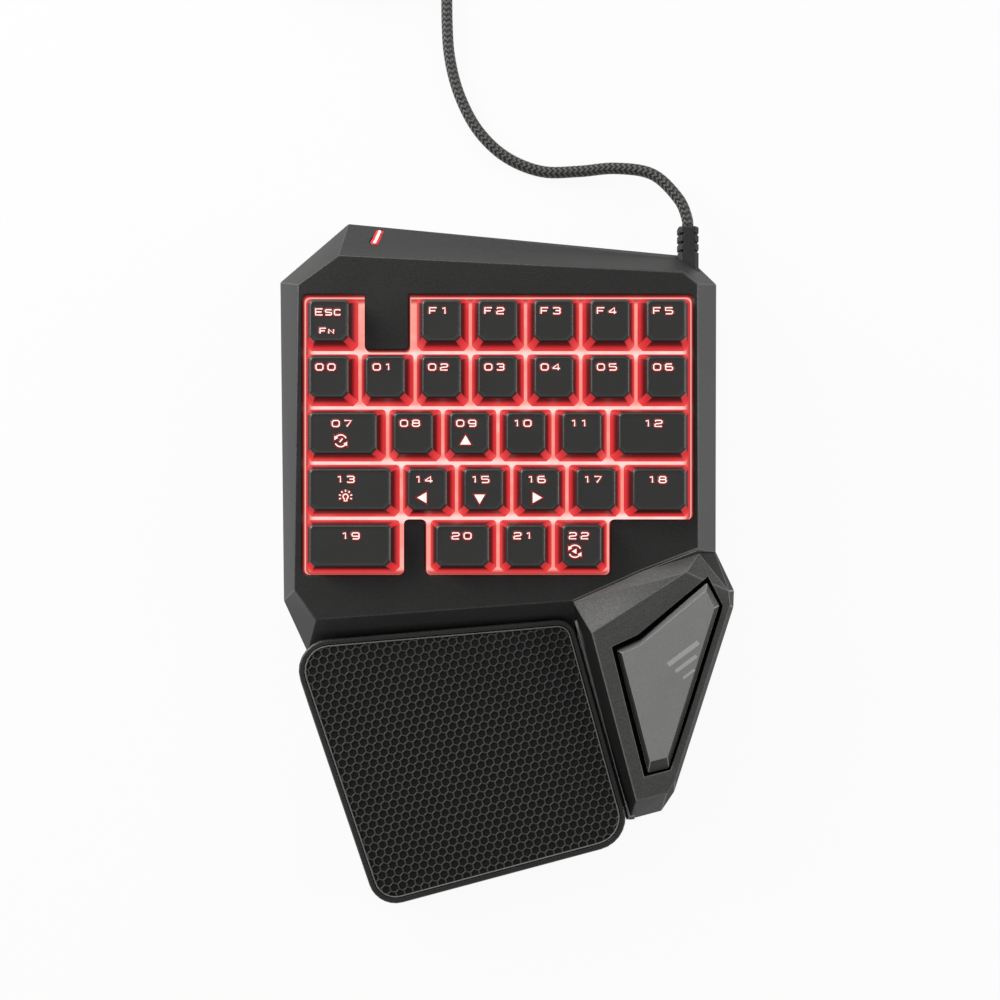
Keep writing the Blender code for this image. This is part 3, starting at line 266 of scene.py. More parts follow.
def cordRoute():
    facts = cordFacts
    radius = facts["diameter"] / 2
    low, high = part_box("strain_relief")
    leaves = Vector(((low.x + high.x) / 2, high.y, (low.z + high.z) / 2))
    coilStart = leaves + Vector((*facts["coilEntry"], 0))
    coilStart.z = radius + facts["lift"]
    route = [leaves + Vector(offset) for offset in facts["route"]]
    route[0].y += facts["clearance"]
    route.append(coilStart - Vector((0, facts["diameter"] + facts["clearance"], 0)))
    for point in route:
        point.z = max(point.z, coilStart.z)
    points = curveThrough(route, facts["leadStep"])
    outer = facts["coilInner"] + facts["coilPitch"] * facts["coilTurns"]
    centre = coilStart - Vector((outer, 0, 0))
    points.append(coilStart - Vector((0, facts["diameter"], 0)))
    for number in range(2 * facts["coilTurns"] * facts["coilPoints"] + 1):
        turns = number / facts["coilPoints"]
        fromMiddle = turns - facts["coilTurns"]
        reach = facts["coilInner"] + facts["coilPitch"] * abs(fromMiddle)
        climb = min(max(fromMiddle * 2 + 0.5, 0), 1)
        rise = facts["coilPitch"] * climb * climb * (3 - 2 * climb)
        angle = turns * 2 * math.pi
        points.append(centre + Vector((reach * math.cos(angle), reach * math.sin(angle), rise)))
    start = points[-1]
    drop = start.z - facts["plugHeight"] / 2 - facts["lift"]
    for number in range(1, facts["tailSteps"] + 1):
        share = number / facts["tailSteps"]
        ease = share * share * (3 - 2 * share)
        points.append(start + Vector((facts["tailSide"] * ease, facts["tailLength"] * share,
                                      -drop * ease)))
    points.append(points[-1] + Vector((0, facts["diameter"], 0)))
    return leaves, points


def curveMesh(name, lines, radius, resolution, closed=False):
    # lines of points become one mesh of round tubes
    curve = bpy.data.curves.new(name, "CURVE")
    curve.dimensions = "3D"
    curve.bevel_depth = radius
    curve.bevel_resolution = resolution
    curve.use_fill_caps = True
    for line in lines:
        spline = curve.splines.new("POLY")
        spline.points.add(len(line) - 1)
        for spot, point in zip(spline.points, line):
            spot.co = (*point, 1)
        spline.use_cyclic_u = closed
    holder = placed(name, curve)
    seen = holder.evaluated_get(bpy.context.evaluated_depsgraph_get())
    mesh = bpy.data.meshes.new_from_object(seen)
    bpy.data.objects.remove(holder, do_unlink=True)
    bpy.data.curves.remove(curve)
    return mesh


def addPiece(name, mesh, material, body="housing", smooth=True):
    piece = placed(name, mesh)
    for each in (material if isinstance(material, (list, tuple)) else [material]):
        mesh.materials.append(each)
    if smooth:
        mesh.shade_smooth()
    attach(piece, body)
    return piece


def markFaces(faces, number):
    for face in faces:
        face.material_index = number


def takeIn(bm, mesh):
    bm.from_mesh(mesh)
    bpy.data.meshes.remove(mesh)


def meshFrom(name, bm):
    mesh = bpy.data.meshes.new(name)
    bm.to_mesh(mesh)
    bm.free()
    return mesh


def pieceFrom(name, bm, material, body="housing", smooth=True):
    return addPiece(name, meshFrom(name, bm), material, body, smooth)


def braidFinish():
    facts = cordFacts
    recipe = Recipe("cordBraid", {"IOR": 1.45})
    along = recipe.uv().part("X") * facts["length"]
    around = recipe.uv().part("Y")
    turn = along / facts["lay"]
    right = ((around + turn) * facts["carriers"]).maths("FRACT")
    left = ((around - turn) * facts["carriers"]).maths("FRACT")
    rightHump = (1 - abs(right - 0.5) * 2) ** facts["roundness"]
    leftHump = (1 - abs(left - 0.5) * 2) ** facts["roundness"]
    # threads go over two and under two, so the one on top swaps along both ways
    half = facts["carriers"] / 2
    swap = ((around + turn) * half + (around - turn) * half).maths("FRACT")
    over = swap.between(*facts["rises"]) * (1 - swap.between(*facts["falls"]))
    height = rightHump * over + leftHump * (1 - over)
    fuzz = recipe.noise(facts["fuzzScale"], 2, 0.6)
    # the threads' tops are painted light and the hollows dark, a painted highlight and shade
    tones = [(0.0, facts["dark"]), (0.5, facts["middle"]), (1.0, facts["bright"])]
    paintedThreadShading = recipe.ramp(height * 0.8 + fuzz * facts["fuzz"], tones)
    recipe.feed({"Base Color": paintedThreadShading, "Roughness": facts["rough"] - height * facts["polish"],
                 "Normal": recipe.bump(height + fuzz * 0.15, facts["braidDepth"], 0.9)})
    return recipe.material


def makeCord():
    facts = cordFacts
    leaves, points = cordRoute()
    total = sum((after - before).length for before, after in zip(points, points[1:]))
    facts["length"] = total
    even = [points[0]]
    left = facts["meshStep"]
    for before, after in zip(points, points[1:]):
        span = (after - before).length
        done = 0.0
        while span - done > left:
            done += left
            even.append(before.lerp(after, done / span))
            left = facts["meshStep"]
        left -= span - done
    even.append(points[-1])
    mesh = curveMesh("cord", [even], facts["diameter"] / 2, facts["sides"] // 2 - 2)
    print("cord faces", len(mesh.polygons), "uv", [layer.name for layer in mesh.uv_layers])
    cord = addPiece("cord", mesh, braidFinish())
    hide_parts("cord_lead", "cord_coil")
    print("cord", round(total, 4), "m")


makeCord()


# desk and lights

studio = {
    "floorSide": 3.0,
    "floorColour": (0.86, 0.86, 0.86, 1),
    "floorOwnLight": 0.93,
    "world": 0.28,
    "softboxes": (  # name, place, side in metres, watts
        ("boxLeft", (-1.04, 0.65, 0.46), 0.7, 18),
        ("boxRight", (1.24, 0.11, 0.38), 0.6, 8),
        ("boxRear", (-0.21, 1.20, 0.46), 0.6, 4.2),
    ),
}


def makeStudio():
    bm = bmesh.new()
    bmesh.ops.create_grid(bm, x_segments=1, y_segments=1, size=studio["floorSide"] / 2)
    recipe = Recipe("deskPaper", {"Base Color": studio["floorColour"], "Roughness": 0.9})
    recipe.feed({"Specular IOR Level": 0.0})
    seen, mirrored, through = [recipe.node("ShaderNodeLightPath", {}, {}, "Is " + kind + " Ray")
                               for kind in ("Camera", "Glossy", "Transmission")]
    share = seen.maths("MAXIMUM", mirrored).maths("MAXIMUM", through) * studio["floorOwnLight"]
    glow = recipe.node("ShaderNodeEmission", {}, {"Color": (1, 1, 1, 1), "Strength": 1.0})
    paper = Wire(recipe, recipe.shader.outputs[0])
    recipe.connect(recipe.exit.inputs[0],
                   recipe.node("ShaderNodeMixShader", {}, {0: share, 1: paper, 2: glow}))
    desk = placed("desk", meshFrom("desk", bm))
    desk.data.materials.append(recipe.material)
    sky = bpy.data.worlds.new("plainRoom")
    sky.use_nodes = True
    light = sky.node_tree.nodes["Background"].inputs
    light["Color"].default_value = (1, 1, 1, 1)
    light["Strength"].default_value = studio["world"]
    scene.world = sky
    for name, place, side, watts in studio["softboxes"]:
        lamp = bpy.data.lights.new(name, "AREA")
        lamp.shape = "SQUARE"
        lamp.size = side
        lamp.energy = watts
        holder = placed(name, lamp)
        holder.location = place
        holder.rotation_euler = (-Vector(place)).to_track_quat("-Z", "Y").to_euler()


makeStudio()
print("desk and lights ready")


# copies of CAD solids with softened edges

copyFacts = {
    "double": 0.001 * mm,  # corners closer than this are one
    "short": 0.2 * mm,  # edges shorter than this close up
    "flat": math.radians(0.5),  # faces that turn less than this become one
    "sharp": math.radians(36),
    "segments": 2,
    "weight": 80,  # of wide faces over narrow ones in the shading
}


def merged(node):
    facts = copyFacts
    bm = bmesh.new()
    bm.from_mesh(nodes[node].data)
    bmesh.ops.remove_doubles(bm, verts=bm.verts, dist=facts["double"])
    short = [vert for vert in bm.verts
             if any(edge.calc_length() < facts["short"] for edge in vert.link_edges)]
    bmesh.ops.remove_doubles(bm, verts=short, dist=facts["short"])
    bmesh.ops.dissolve_limit(bm, angle_limit=facts["flat"], verts=bm.verts, edges=bm.edges)
    return bm


def widestFace(node, fits):
    # middle and normal of the node's widest face that fits
    bm = merged(node)
    best = max((face for face in bm.faces if fits(face.normal)),
               key=lambda face: face.normal.z * face.calc_area())
    found = best.calc_center_median().copy(), best.normal.copy()
    bm.free()
    return found


def leanOnto(bm, middle, normal):
    # what was drawn flat moves straight up or down onto a sloping face
    lean = Matrix.Identity(4)
    lean[2][0] = -normal.x / normal.z
    lean[2][1] = -normal.y / normal.z
    lean[2][3] = middle.dot(normal) / normal.z
    bmesh.ops.transform(bm, matrix=lean, verts=bm.verts)


def roundOff(bm, edges, width, segments, mark=None, clamp=False, slide=False):
    made = bmesh.ops.bevel(bm, geom=edges, offset=width, offset_type="OFFSET", affect="EDGES",
                           segments=segments, profile=0.5, material=-1, clamp_overlap=clamp,
                           loop_slide=slide)
    if mark is not None:
        markFaces(made["faces"], mark)


def soften(bm, width, sharper, wanted=None):
    edges = []
    for edge in bm.edges:
        if len(edge.link_faces) != 2 or not edge.is_convex:
            continue
        if edge.calc_face_angle(0) >= math.radians(sharper) and (not wanted or wanted(edge)):
            edges.append(edge)
    roundOff(bm, edges, width, copyFacts["segments"], 1, slide=True)


def standFor(piece, node):
    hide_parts(node)


def softCopy(node, facts, finish, body="housing", wanted=None, prepare=None):
    # finish is a pair of recipes, for the faces and for the softened edges, which carry a painted
    # highlight
    bm = merged(node)
    before = len(bm.faces)
    if prepare:
        prepare(bm)
    soften(bm, facts["softEdge"], facts["sharper"], wanted)
    piece = pieceFrom(node + ".soft", bm, [each.material for each in finish], body)
    piece.data.set_sharp_from_angle(angle=copyFacts["sharp"])
    weighted = piece.modifiers.new("steadyNormals", "WEIGHTED_NORMAL")
    weighted.keep_sharp = True
    weighted.weight = copyFacts["weight"]
    standFor(piece, node)
    print(node, "faces", before, len(piece.data.polygons))
    return piece


# housing

shellFacts = {
    "dark": tint(26, 26, 25),
    "light": tint(43, 43, 42),
    "driftScale": 45,
    "drift": 0.35,
    "speckleScale": 1700,
    "speckle": 1.8,
    "grainScale": 1500,
    "grainDepth": 0.045 * mm,
    "rough": 0.48,
    "roughDrift": 0.10,
    "roughSpeckle": 0.12,
    "softEdge": 0.30 * mm,
    "sharper": 12,
    "parting": 8.3 * mm,
    "ring": 1.2 * mm,  # height of the band over the parting line that keeps its edges
    "relief": 3.5 * mm,  # reach of the cord's notch around the strain relief
    "slotRear": Vector((23.6, -15.0)) * mm,
    "slotLean": 0.262,
    "slotReach": 4.2 * mm,  # how far the slot's faces stand from its middle line
    "lipTop": 14.2 * mm,
    "moduleCorner": Vector((22, 2, 17)) * mm,
    "moduleSide": 50 * mm,
    "grooveLow": 18.45 * mm,  # lowest corner of the groove between bezel and wing
    "grooveEnd": 65 * mm,  # and where it ends on the right
    "leftCrease": -71.9 * mm,
    "leftShift": 0.45 * mm,
    # painted shade: the wing is painted darker towards the right
    "wingFade": (30 * mm, 60 * mm),  # the wing darkens from left to right
    "wingDark": (0.52, 0.52, 0.52, 1),
}


def besideRelief(point):
    low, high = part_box("strain_relief")
    reach = shellFacts["relief"]
    return (low.x - reach < point.x < high.x + reach and low.y - reach < point.y
            and point.z < high.z + reach)


def outside(edge):
    # edges that show from above, without the ring at the parting line, the notch and the well's rim
    if any(besideRelief(vert.co) for vert in edge.verts):
        return False
    if all(nearKey(vert.co, wellFacts["rimReach"]) for vert in edge.verts):
        return False
    if max(vert.co.z for vert in edge.verts) <= shellFacts["parting"] + shellFacts["ring"]:
        return False
    rises = [face.normal.z for face in edge.link_faces]
    return min(rises) > -0.1 and max(rises) > 0.2


def refinish(piece, finishes, choose):
    # a face takes the finish that choose names for its middle, its normal and its mark
    first = len(piece.data.materials)
    for material in finishes.values():
        piece.data.materials.append(material)
    for face in piece.data.polygons:
        part = choose(face.center, face.normal, face.material_index)
        if part:
            face.material_index = first + list(finishes).index(part)


def plasticAndHighlightedEdge(name, facts, lift):
    # the plastic and its softened edge, which is polished a little and painted lighter, a painted
    # highlight
    edge = dict(facts, rough=facts["rough"] - 0.08)
    for tone in ("dark", "light"):
        edge[tone] = tuple(min(1, level * lift) for level in facts[tone][:3]) + (1,)
    return moulded(name, facts), moulded(name + "Edge", edge)


def toned(dark, light, base=shellFacts, **others):
    return dict(base, dark=tint(*dark), light=tint(*light), **others)


def plastic(name, *tones, shine=0.5, **others):
    recipe = moulded(name, toned(*tones, **others))
    recipe.feed({"Specular IOR Level": shine})
    return recipe.material


def paint(material, *starts):
    # every CAD node whose name starts so takes the material
    for name, node in nodes.items():
        if name.startswith(starts):
            for slot in node.material_slots:
                slot.material = material


keyNames = sorted(name for name in nodes if name.startswith("key_"))
keyBoxes = [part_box(name) for name in keyNames]
fieldLow = Vector([min(low[axis] for low, high in keyBoxes) for axis in (0, 1)])
fieldHigh = Vector([max(high[axis] for low, high in keyBoxes) for axis in (0, 1)])

wellFacts = {
    "margin": 1.6 * mm,  # from the keys to the well's wall, and to the rim's far side
    "rimReach": 3.2 * mm,
    "mark": 2,  # on the faces of the rim
    "bottom": 12.3 * mm,
    "top": 20.5 * mm,
    "flat": 0.05 * mm,  # what lies within this of the top counts as top
    "corner": 1.6 * mm,
    "rimRound": 0.7 * mm,
    "segments": 3,
    # the colours below are a painted glow on the well's walls and rim, with a painted red cast on their
    # base tones; lamp holds the glow's settings, though the walls are no lamp
    "hot": (0.84, 0.46, 0.40, 1),
    "hotFade": (14.4 * mm, 16.4 * mm),
    "red": (0.70, 0.035, 0.040, 1),
    "redFade": (16.2 * mm, 18.4 * mm),
    "dim": (0.075, 0.006, 0.006, 1),
    "unlit": (0.006, 0.001, 0.001, 1),
    "rimFade": (0.30, 0.80),  # upward share of the rim's normal
    "wall": tint(26, 20, 20),
    "rim": tint(24, 21, 21),
    "lamp": {"Roughness": 0.6, "Emission Strength": 1.0},
}


def nearKey(point, margin=wellFacts["margin"]):
    return any(low.x - margin < point.x < high.x + margin
               and low.y - margin < point.y < high.y + margin for low, high in keyBoxes)


def atTop(vert):
    return abs(vert.co.z - wellFacts["top"]) < wellFacts["flat"]


def roundWell(bm):
    # the corners of the key well are round on the real housing, and so is its rim
    facts = wellFacts
    upright = []
    for edge in bm.edges:
        first, second = (vert.co for vert in edge.verts)
        high = max(first.z, second.z) > facts["top"] - 2 * facts["flat"]
        if (first - second).xy.length < 0.01 * mm and nearKey(first) and high:
            upright.append(edge)
    roundOff(bm, upright, facts["corner"], facts["segments"])
    rim = []
    for edge in bm.edges:
        middle = (edge.verts[0].co + edge.verts[1].co) / 2
        leans = [abs(face.normal.z) for face in edge.link_faces]
        if all(atTop(vert) for vert in edge.verts) and nearKey(middle, facts["rimReach"]) and (
                len(leans) == 2 and min(leans) < 0.3):
            rim.append(edge)
    roundOff(bm, rim, facts["rimRound"], facts["segments"], facts["mark"])
    print("well corners", len(upright), "rim edges", len(rim))


def dressShell(bm):
    # the wing starts straight from the bezel, and the left crease stands a little further out
    facts = shellFacts
    raised = []
    for vert in bm.verts:
        leans = [face.normal.y for face in vert.link_faces]
        if vert.co.x < facts["moduleCorner"].x or not leans:
            continue
        if not facts["grooveLow"] < vert.co.z < wellFacts["top"] - wellFacts["flat"]:
            continue
        seen = max(face.normal.z for face in vert.link_faces) > 0.5
        if seen and min(leans) < -0.5 and (max(leans) > 0.2 or vert.co.x > facts["grooveEnd"]):
            raised.append(vert)
    for vert in raised:
        vert.co.z = wellFacts["top"]
    bent = [face for face in bm.faces if any(vert in raised for vert in face.verts)]
    bmesh.ops.triangulate(bm, faces=bent)
    crease = [vert for vert in bm.verts if atTop(vert) and vert.co.x < facts["leftCrease"]]
    bmesh.ops.translate(bm, vec=(-facts["leftShift"], 0, 0), verts=crease)
    bmesh.ops.dissolve_limit(bm, angle_limit=copyFacts["flat"], verts=bm.verts, edges=bm.edges)
    print("groove corners", len(raised), "crease corners", len(crease))
    roundWell(bm)


def wellPaintedGlowFinish():
    # walls of the key well with a painted glow: nearly white at the bottom, then red, and dim near the
    # top
    facts = wellFacts
    recipe = Recipe("wellGlow", {"Base Color": facts["wall"], **facts["lamp"]})
    height = recipe.place().part("Z")
    low = recipe.mix(height.between(*facts["hotFade"]), facts["hot"], facts["red"])
    recipe.feed({"Emission Color": recipe.mix(height.between(*facts["redFade"]), low, facts["dim"])})
    return recipe.material


def rimPaintedGlowFinish():
    # the well's rounded rim, with a painted dim red glow inside and dark on top
    facts = wellFacts
    recipe = Recipe("wellRim", {"Base Color": facts["rim"], **facts["lamp"]})
    flat = recipe.facing().part("Z").between(*facts["rimFade"])
    recipe.feed({"Emission Color": recipe.mix(flat, facts["dim"], facts["unlit"])})
    return recipe.material


def shellPart(middle, normal, mark):
    # which finish a face of the shell takes, nothing for the plain plastic; the well and rim take a
    # painted glow, the module's faces lighter copies as painted light, the slot's wall a painted shade
    # and the lip a painted light
    facts = shellFacts
    well = wellFacts
    corner = facts["moduleCorner"]
    if mark == well["mark"]:
        return "rim"
    inWell = well["bottom"] < middle.z < well["top"] - 0.1 * mm and abs(normal.z) < 0.3
    if inWell and nearKey(middle, well["rimReach"]):
        return "well"
    level = normal.z >= 0.9985 and middle.z <= well["top"] + 0.5 * mm
    # the module's faces take lighter copies of the shell plastic by the way they turn, painted light,
    # and their softened edges a painted highlight
    if middle.x > corner.x and middle.y < corner.y and middle.z > corner.z and not level:
        if mark == 1 and normal.z > 0.60:
            return "moduleEdge"
        if normal.z > 0.75:
            return "wing" if normal.z < 0.98 and normal.x < -0.1 else "module"
    # right-facing sides of the module take a lighter, duller copy of the plastic, painted light
    if middle.x > facts["moduleSide"] and middle.y < 0 and normal.x > 0.5 and mark != 1:
        return "side"
    along = facts["slotRear"].y - middle.y
    offset = middle.x - facts["slotRear"].x - facts["slotLean"] * along
    over = middle.z > facts["parting"] + 0.1 * mm
    if along >= 0 and abs(offset) <= facts["slotReach"] and over:
        # the slot's wall is painted near black, a painted shade
        if normal.x < -0.5:
            return "slot"
        # the lip is painted nearly white, a painted light where it lies in shade
        if normal.z > 0.8 and middle.z < facts["lipTop"]:
            return "lip"
    return None


def wingLitCopyFinish():
    # the wing is a lighter copy of the shell plastic, painted light, darkened towards the right by a
    # painted shade
    finish = moulded("wingPlastic", toned((92, 92, 91), (122, 122, 120)))
    shadeAcross = finish.place().part("X").between(*shellFacts["wingFade"])
    tone = finish.mix(shadeAcross, (1, 1, 1, 1), shellFacts["wingDark"])
    finish.feed({"Base Color": finish.mix(1.0, finish.colour, tone, "MULTIPLY")})
    return finish.material


shellFinish = plasticAndHighlightedEdge("shellPlastic", shellFacts, 2.6)
shell = softCopy("top_cover", shellFacts, shellFinish, wanted=outside, prepare=dressShell)
refinish(shell, {
    "slot": plastic("slotShade", (10, 10, 9), (16, 16, 15)),
    "well": wellPaintedGlowFinish(),
    "lip": plastic("lipPlastic", (196, 196, 193), (218, 218, 214)),
    "rim": rimPaintedGlowFinish(),
    "module": plastic("modulePlastic", (58, 58, 57), (84, 84, 82)),
    "wing": wingLitCopyFinish(),
    "moduleEdge": plastic("moduleEdge", (88, 88, 86), (112, 112, 110)),
    "side": plastic("moduleSide", (34, 34, 33), (50, 50, 49), rough=0.7, shine=0.2),
}, shellPart)
paint(plastic("lowerPlastic", (20, 20, 19), (30, 30, 29)), "bottom_cover", "palm_rest_bottom")

# keys: caps, walls with a painted glow from below, and their marks

keyFacts = {
    "dark": tint(39, 39, 38),
    "light": tint(55, 55, 54),
    "driftScale": 70,
    "drift": 0.30,
    "speckleScale": 2600,
    "speckle": 0.5,
    "grainScale": 2600,
    "grainDepth": 0.012 * mm,
    "rough": 0.42,
    "roughDrift": 0.10,
    "roughSpeckle": 0.06,
    "softEdge": 0.22 * mm,
    "sharper": 18,
    "skirt": 17.8 * mm,
    "top": 27.5 * mm,
    # the walls' base tone is a painted red cast, and the colour after it the red of their painted glow
    "wall": tint(30, 24, 24),
    "lit": (1.0, 0.040, 0.050, 1),
    "wallFade": (0.60, 0.80),  # upward share of a wall's normal
    "cornerFade": (0.16, 0.30),  # across times along in the normal of a corner facet
    "glowFade": (0.26, 0.84),  # share of the height, down from the top
}


def keyWallPaintedGlow(recipe):
    # painted glow on the walls: near black at the top, red towards the skirt, and bright on the corner
    # facets
    facts = keyFacts
    height = recipe.place().part("Z")
    facing = recipe.facing()
    wall = 1 - facing.part("Z").between(*facts["wallFade"])
    low = ((facts["top"] - height) / (facts["top"] - facts["skirt"])).held()
    corner = abs(facing.part("X") * facing.part("Y")).between(*facts["cornerFade"])
    flat = low.between(*facts["glowFade"]) * 0.66 + 0.022
    facet = low * 0.40 + 0.44
    level = (flat * (1 - corner) + facet * corner) * wall
    recipe.feed({"Base Color": recipe.mix(wall, recipe.colour, facts["wall"]),
                 "Emission Color": recipe.mix(level, (0, 0, 0, 1), facts["lit"]),
                 "Emission Strength": 1.0})


keyFinish = plasticAndHighlightedEdge("capPlastic", keyFacts, 1.7)
for each in keyFinish:
    keyWallPaintedGlow(each)
for name in keyNames:
    softCopy(name, keyFacts, keyFinish, name)

markFacts = {
    "glyphWide": 2.35 * mm,  # between the middles of the strokes
    "glyphHigh": 2.05 * mm,
    "advance": 4.05 * mm,
    "narrow": {"1": 0.72},  # share of the usual width
    "stroke": 0.41 * mm,
    "strokeHigh": 0.05 * mm,
    "halo": 1.50 * mm,
    "haloHigh": 0.03 * mm,
    "haloAround": 1.0 * mm,
    "lift": 0.060 * mm,
    "plateau": 27.2 * mm,
    "usual": (-1.1, 3.35),  # shift of a word from its key's middle, in millimetres
    "shifts": {"00": (-1.15, 3.35), "01": (-1.15, 3.35), "07": (-0.4, 3.25), "12": (0.4, 3.3),
               "13": (-1.5, 3.4), "18": (-0.6, 3.3), "19": (0.2, 3.3), "20": (-0.3, 3.3)},
    "esc": (  # word, shift, width, height, advance, share of the later letters
        ("ESC", (-0.3, 2.95), 2.35, 2.05, 3.35, 0.86),
        ("FN", (-0.7, -3.45), 2.0, 1.75, 2.95, 0.8),
    ),
    "triangle": 2.10 * mm,
    "triangleShift": (-1.35, -2.80),
    "triangles": {"09": 0, "14": 90, "15": 180, "16": 270},
}

glyphs = {  # strokes as pairs of across and up, in a box of 100 by 100; True where one closes
    "0": [(True, 20, 0, 80, 0, 100, 20, 100, 80, 80, 100, 20, 100, 0, 80, 0, 20)],
    "1": [(False, 25, 86, 62, 100, 62, 0)],
    "2": [(False, 0, 84, 16, 100, 84, 100, 100, 85, 100, 64, 85, 50, 15, 44, 0, 30, 0, 0, 100, 0)],
    "3": [(False, 0, 88, 15, 100, 85, 100, 100, 86, 100, 66, 86, 53, 35, 53), (False, 86, 53, 100, 38,
          100, 15, 85, 0, 15, 0, 0, 13)],
    "4": [(False, 72, 0, 72, 100, 0, 38, 0, 26, 100, 26)],
    "5": [(False, 100, 100, 0, 100, 0, 56, 85, 56, 100, 42, 100, 15, 85, 0, 0, 0)],
    "6": [(False, 92, 100, 16, 100, 0, 84, 0, 16, 16, 0, 84, 0, 100, 16, 100, 42, 86, 56, 0, 56)],
    "7": [(False, 0, 100, 100, 100, 36, 0)],
    "8": [(True, 20, 0, 80, 0, 100, 16, 100, 40, 88, 52, 96, 62, 96, 84, 80, 100, 20, 100, 4, 84, 4, 62,
          12, 52, 0, 40, 0, 16), (False, 12, 52, 88, 52)],
    "9": [(False, 8, 0, 84, 0, 100, 16, 100, 84, 84, 100, 16, 100, 0, 84, 0, 58, 14, 44, 100, 44)],
    "F": [(False, 0, 0, 0, 100, 100, 100), (False, 0, 50, 82, 50)],
    "E": [(False, 100, 100, 0, 100, 0, 0, 100, 0), (False, 0, 50, 86, 50)],
    "S": [(False, 100, 90, 90, 100, 12, 100, 0, 88, 0, 64, 12, 53, 88, 47, 100, 36, 100, 12, 88, 0, 10,
          0, 0, 10)],
    "C": [(False, 100, 84, 84, 100, 16, 100, 0, 84, 0, 16, 16, 0, 84, 0, 100, 16)],
    "N": [(False, 0, 0, 0, 100, 100, 0, 100, 100)],
}


def shifted(point, shift):
    # shift is in millimetres
    return point + Vector((*shift, 0)) * mm


def towards(degrees):
    return Vector((math.cos(math.radians(degrees)), math.sin(math.radians(degrees)), 0))


def glow(name, colour, strength, base=(0.02, 0.0, 0.0, 1)):
    return Recipe(name, {"Base Color": base, "Roughness": 0.5, "Emission Color": colour,
                         "Emission Strength": strength}).material


markCore = glow("markCore", (1.0, 0.80, 0.75, 1), 0.95, (0.5, 0.35, 0.32, 1))
# the halo is a painted red glow around the strokes of each mark
markHalo = glow("markHalo", tint(126, 21, 21), 1.0)


def wordLines(word, centre, wide, high, advance, small=1.0):
    # strokes of one word, its middle at centre; small scales every letter after the first
    narrow = markFacts["narrow"]
    shares = [1] + [small] * (len(word) - 1)
    widths = [wide * narrow.get(letter, 1) * share for letter, share in zip(word, shares)]
    gap = advance - wide
    total = sum(widths) + gap * (len(word) - 1)
    left = centre.x - total / 2
    lines = []
    for letter, width, share in zip(word, widths, shares):
        tall = high * share
        base = centre.y - high / 2
        full = width / narrow.get(letter, 1)
        shift = (full - width) / 2
        for closed, *points in glyphs[letter]:
            lines.append((closed, [Vector((left - shift + x / 100 * full, base + y / 100 * tall, 0))
                                   for x, y in zip(points[::2], points[1::2])]))
        left += width + gap
    return lines


def strokesMesh(bm, lines, width, height, low, number=0):
    for closed in (True, False):
        chosen = [points for shut, points in lines if shut == closed]
        if not chosen:
            continue
        mesh = curveMesh("strokes", chosen, width / 2, 1, closed)
        mesh.transform(Matrix.Translation((0, 0, low)) @ Matrix.Diagonal((1, 1, height / width, 1)))
        markFaces(mesh.polygons, number)
        takeIn(bm, mesh)


def prismInto(bm, sides, radius, centre, turn, low, height, number=0):
    place = Matrix.Translation((centre.x, centre.y, low)) @ Matrix.Rotation(turn, 4, "Z")
    made = bmesh.ops.create_cone(bm, cap_ends=True, segments=sides, radius1=radius, radius2=radius,
                                 depth=height, matrix=place)
    markFaces({face for vert in made["verts"] for face in vert.link_faces}, number)


def arcLine(centre, radius, start, sweep, steps=12):
    return (False, [centre + towards(start + sweep * step / steps) * radius
                    for step in range(steps + 1)])


def roundArrows(centre, radius, sweep=125):
    # two arcs that chase each other, with an arrowhead at the end of each
    lines = []
    prisms = []
    for start in (25, 205):
        end = start + sweep
        lines.append(arcLine(centre, radius, start, sweep))
        prisms.append((3, radius * 0.42, centre + towards(end) * radius, math.radians(end)))
    return lines, prisms


def needleSign(middle):
    centre = shifted(middle, (-0.75, -2.60))
    lines, prisms = roundArrows(centre, 2.0 * mm)
    lines.append((False, [shifted(centre, (-0.35, -0.45)), shifted(centre, (0.65, 0.80))]))
    return lines, prisms


def lampSign(middle):
    centre = shifted(middle, (-1.50, -2.45))
    bulb = arcLine(centre, 0.85 * mm, -55, 290)[1]
    lines = [(True, [*bulb, shifted(centre, (-0.45, -1.45)), shifted(centre, (0.45, -1.45))])]
    for angle in (-20, 15, 52, 90, 128, 165, 200):
        lines.append((False, [centre + towards(angle) * reach * mm for reach in (1.65, 2.35)]))
    return lines, []


def repeatSign(middle):
    centre = shifted(middle, (-2.40, -1.90))
    lines, prisms = roundArrows(centre, 2.05 * mm)
    prisms.append((3, 1.05 * mm, centre, math.radians(90)))
    return lines, prisms


signs = {"07": needleSign, "13": lampSign, "22": repeatSign}


def wordOn(word, middle):
    facts = markFacts
    if word != "esc":
        spot = shifted(middle, facts["shifts"].get(word, facts["usual"]))
        return wordLines(word.upper(), spot, facts["glyphWide"], facts["glyphHigh"], facts["advance"])
    lines = []
    for part, shift, wide, high, advance, small in facts["esc"]:
        lines += wordLines(part, shifted(middle, shift), wide * mm, high * mm, advance * mm, small)
    return lines


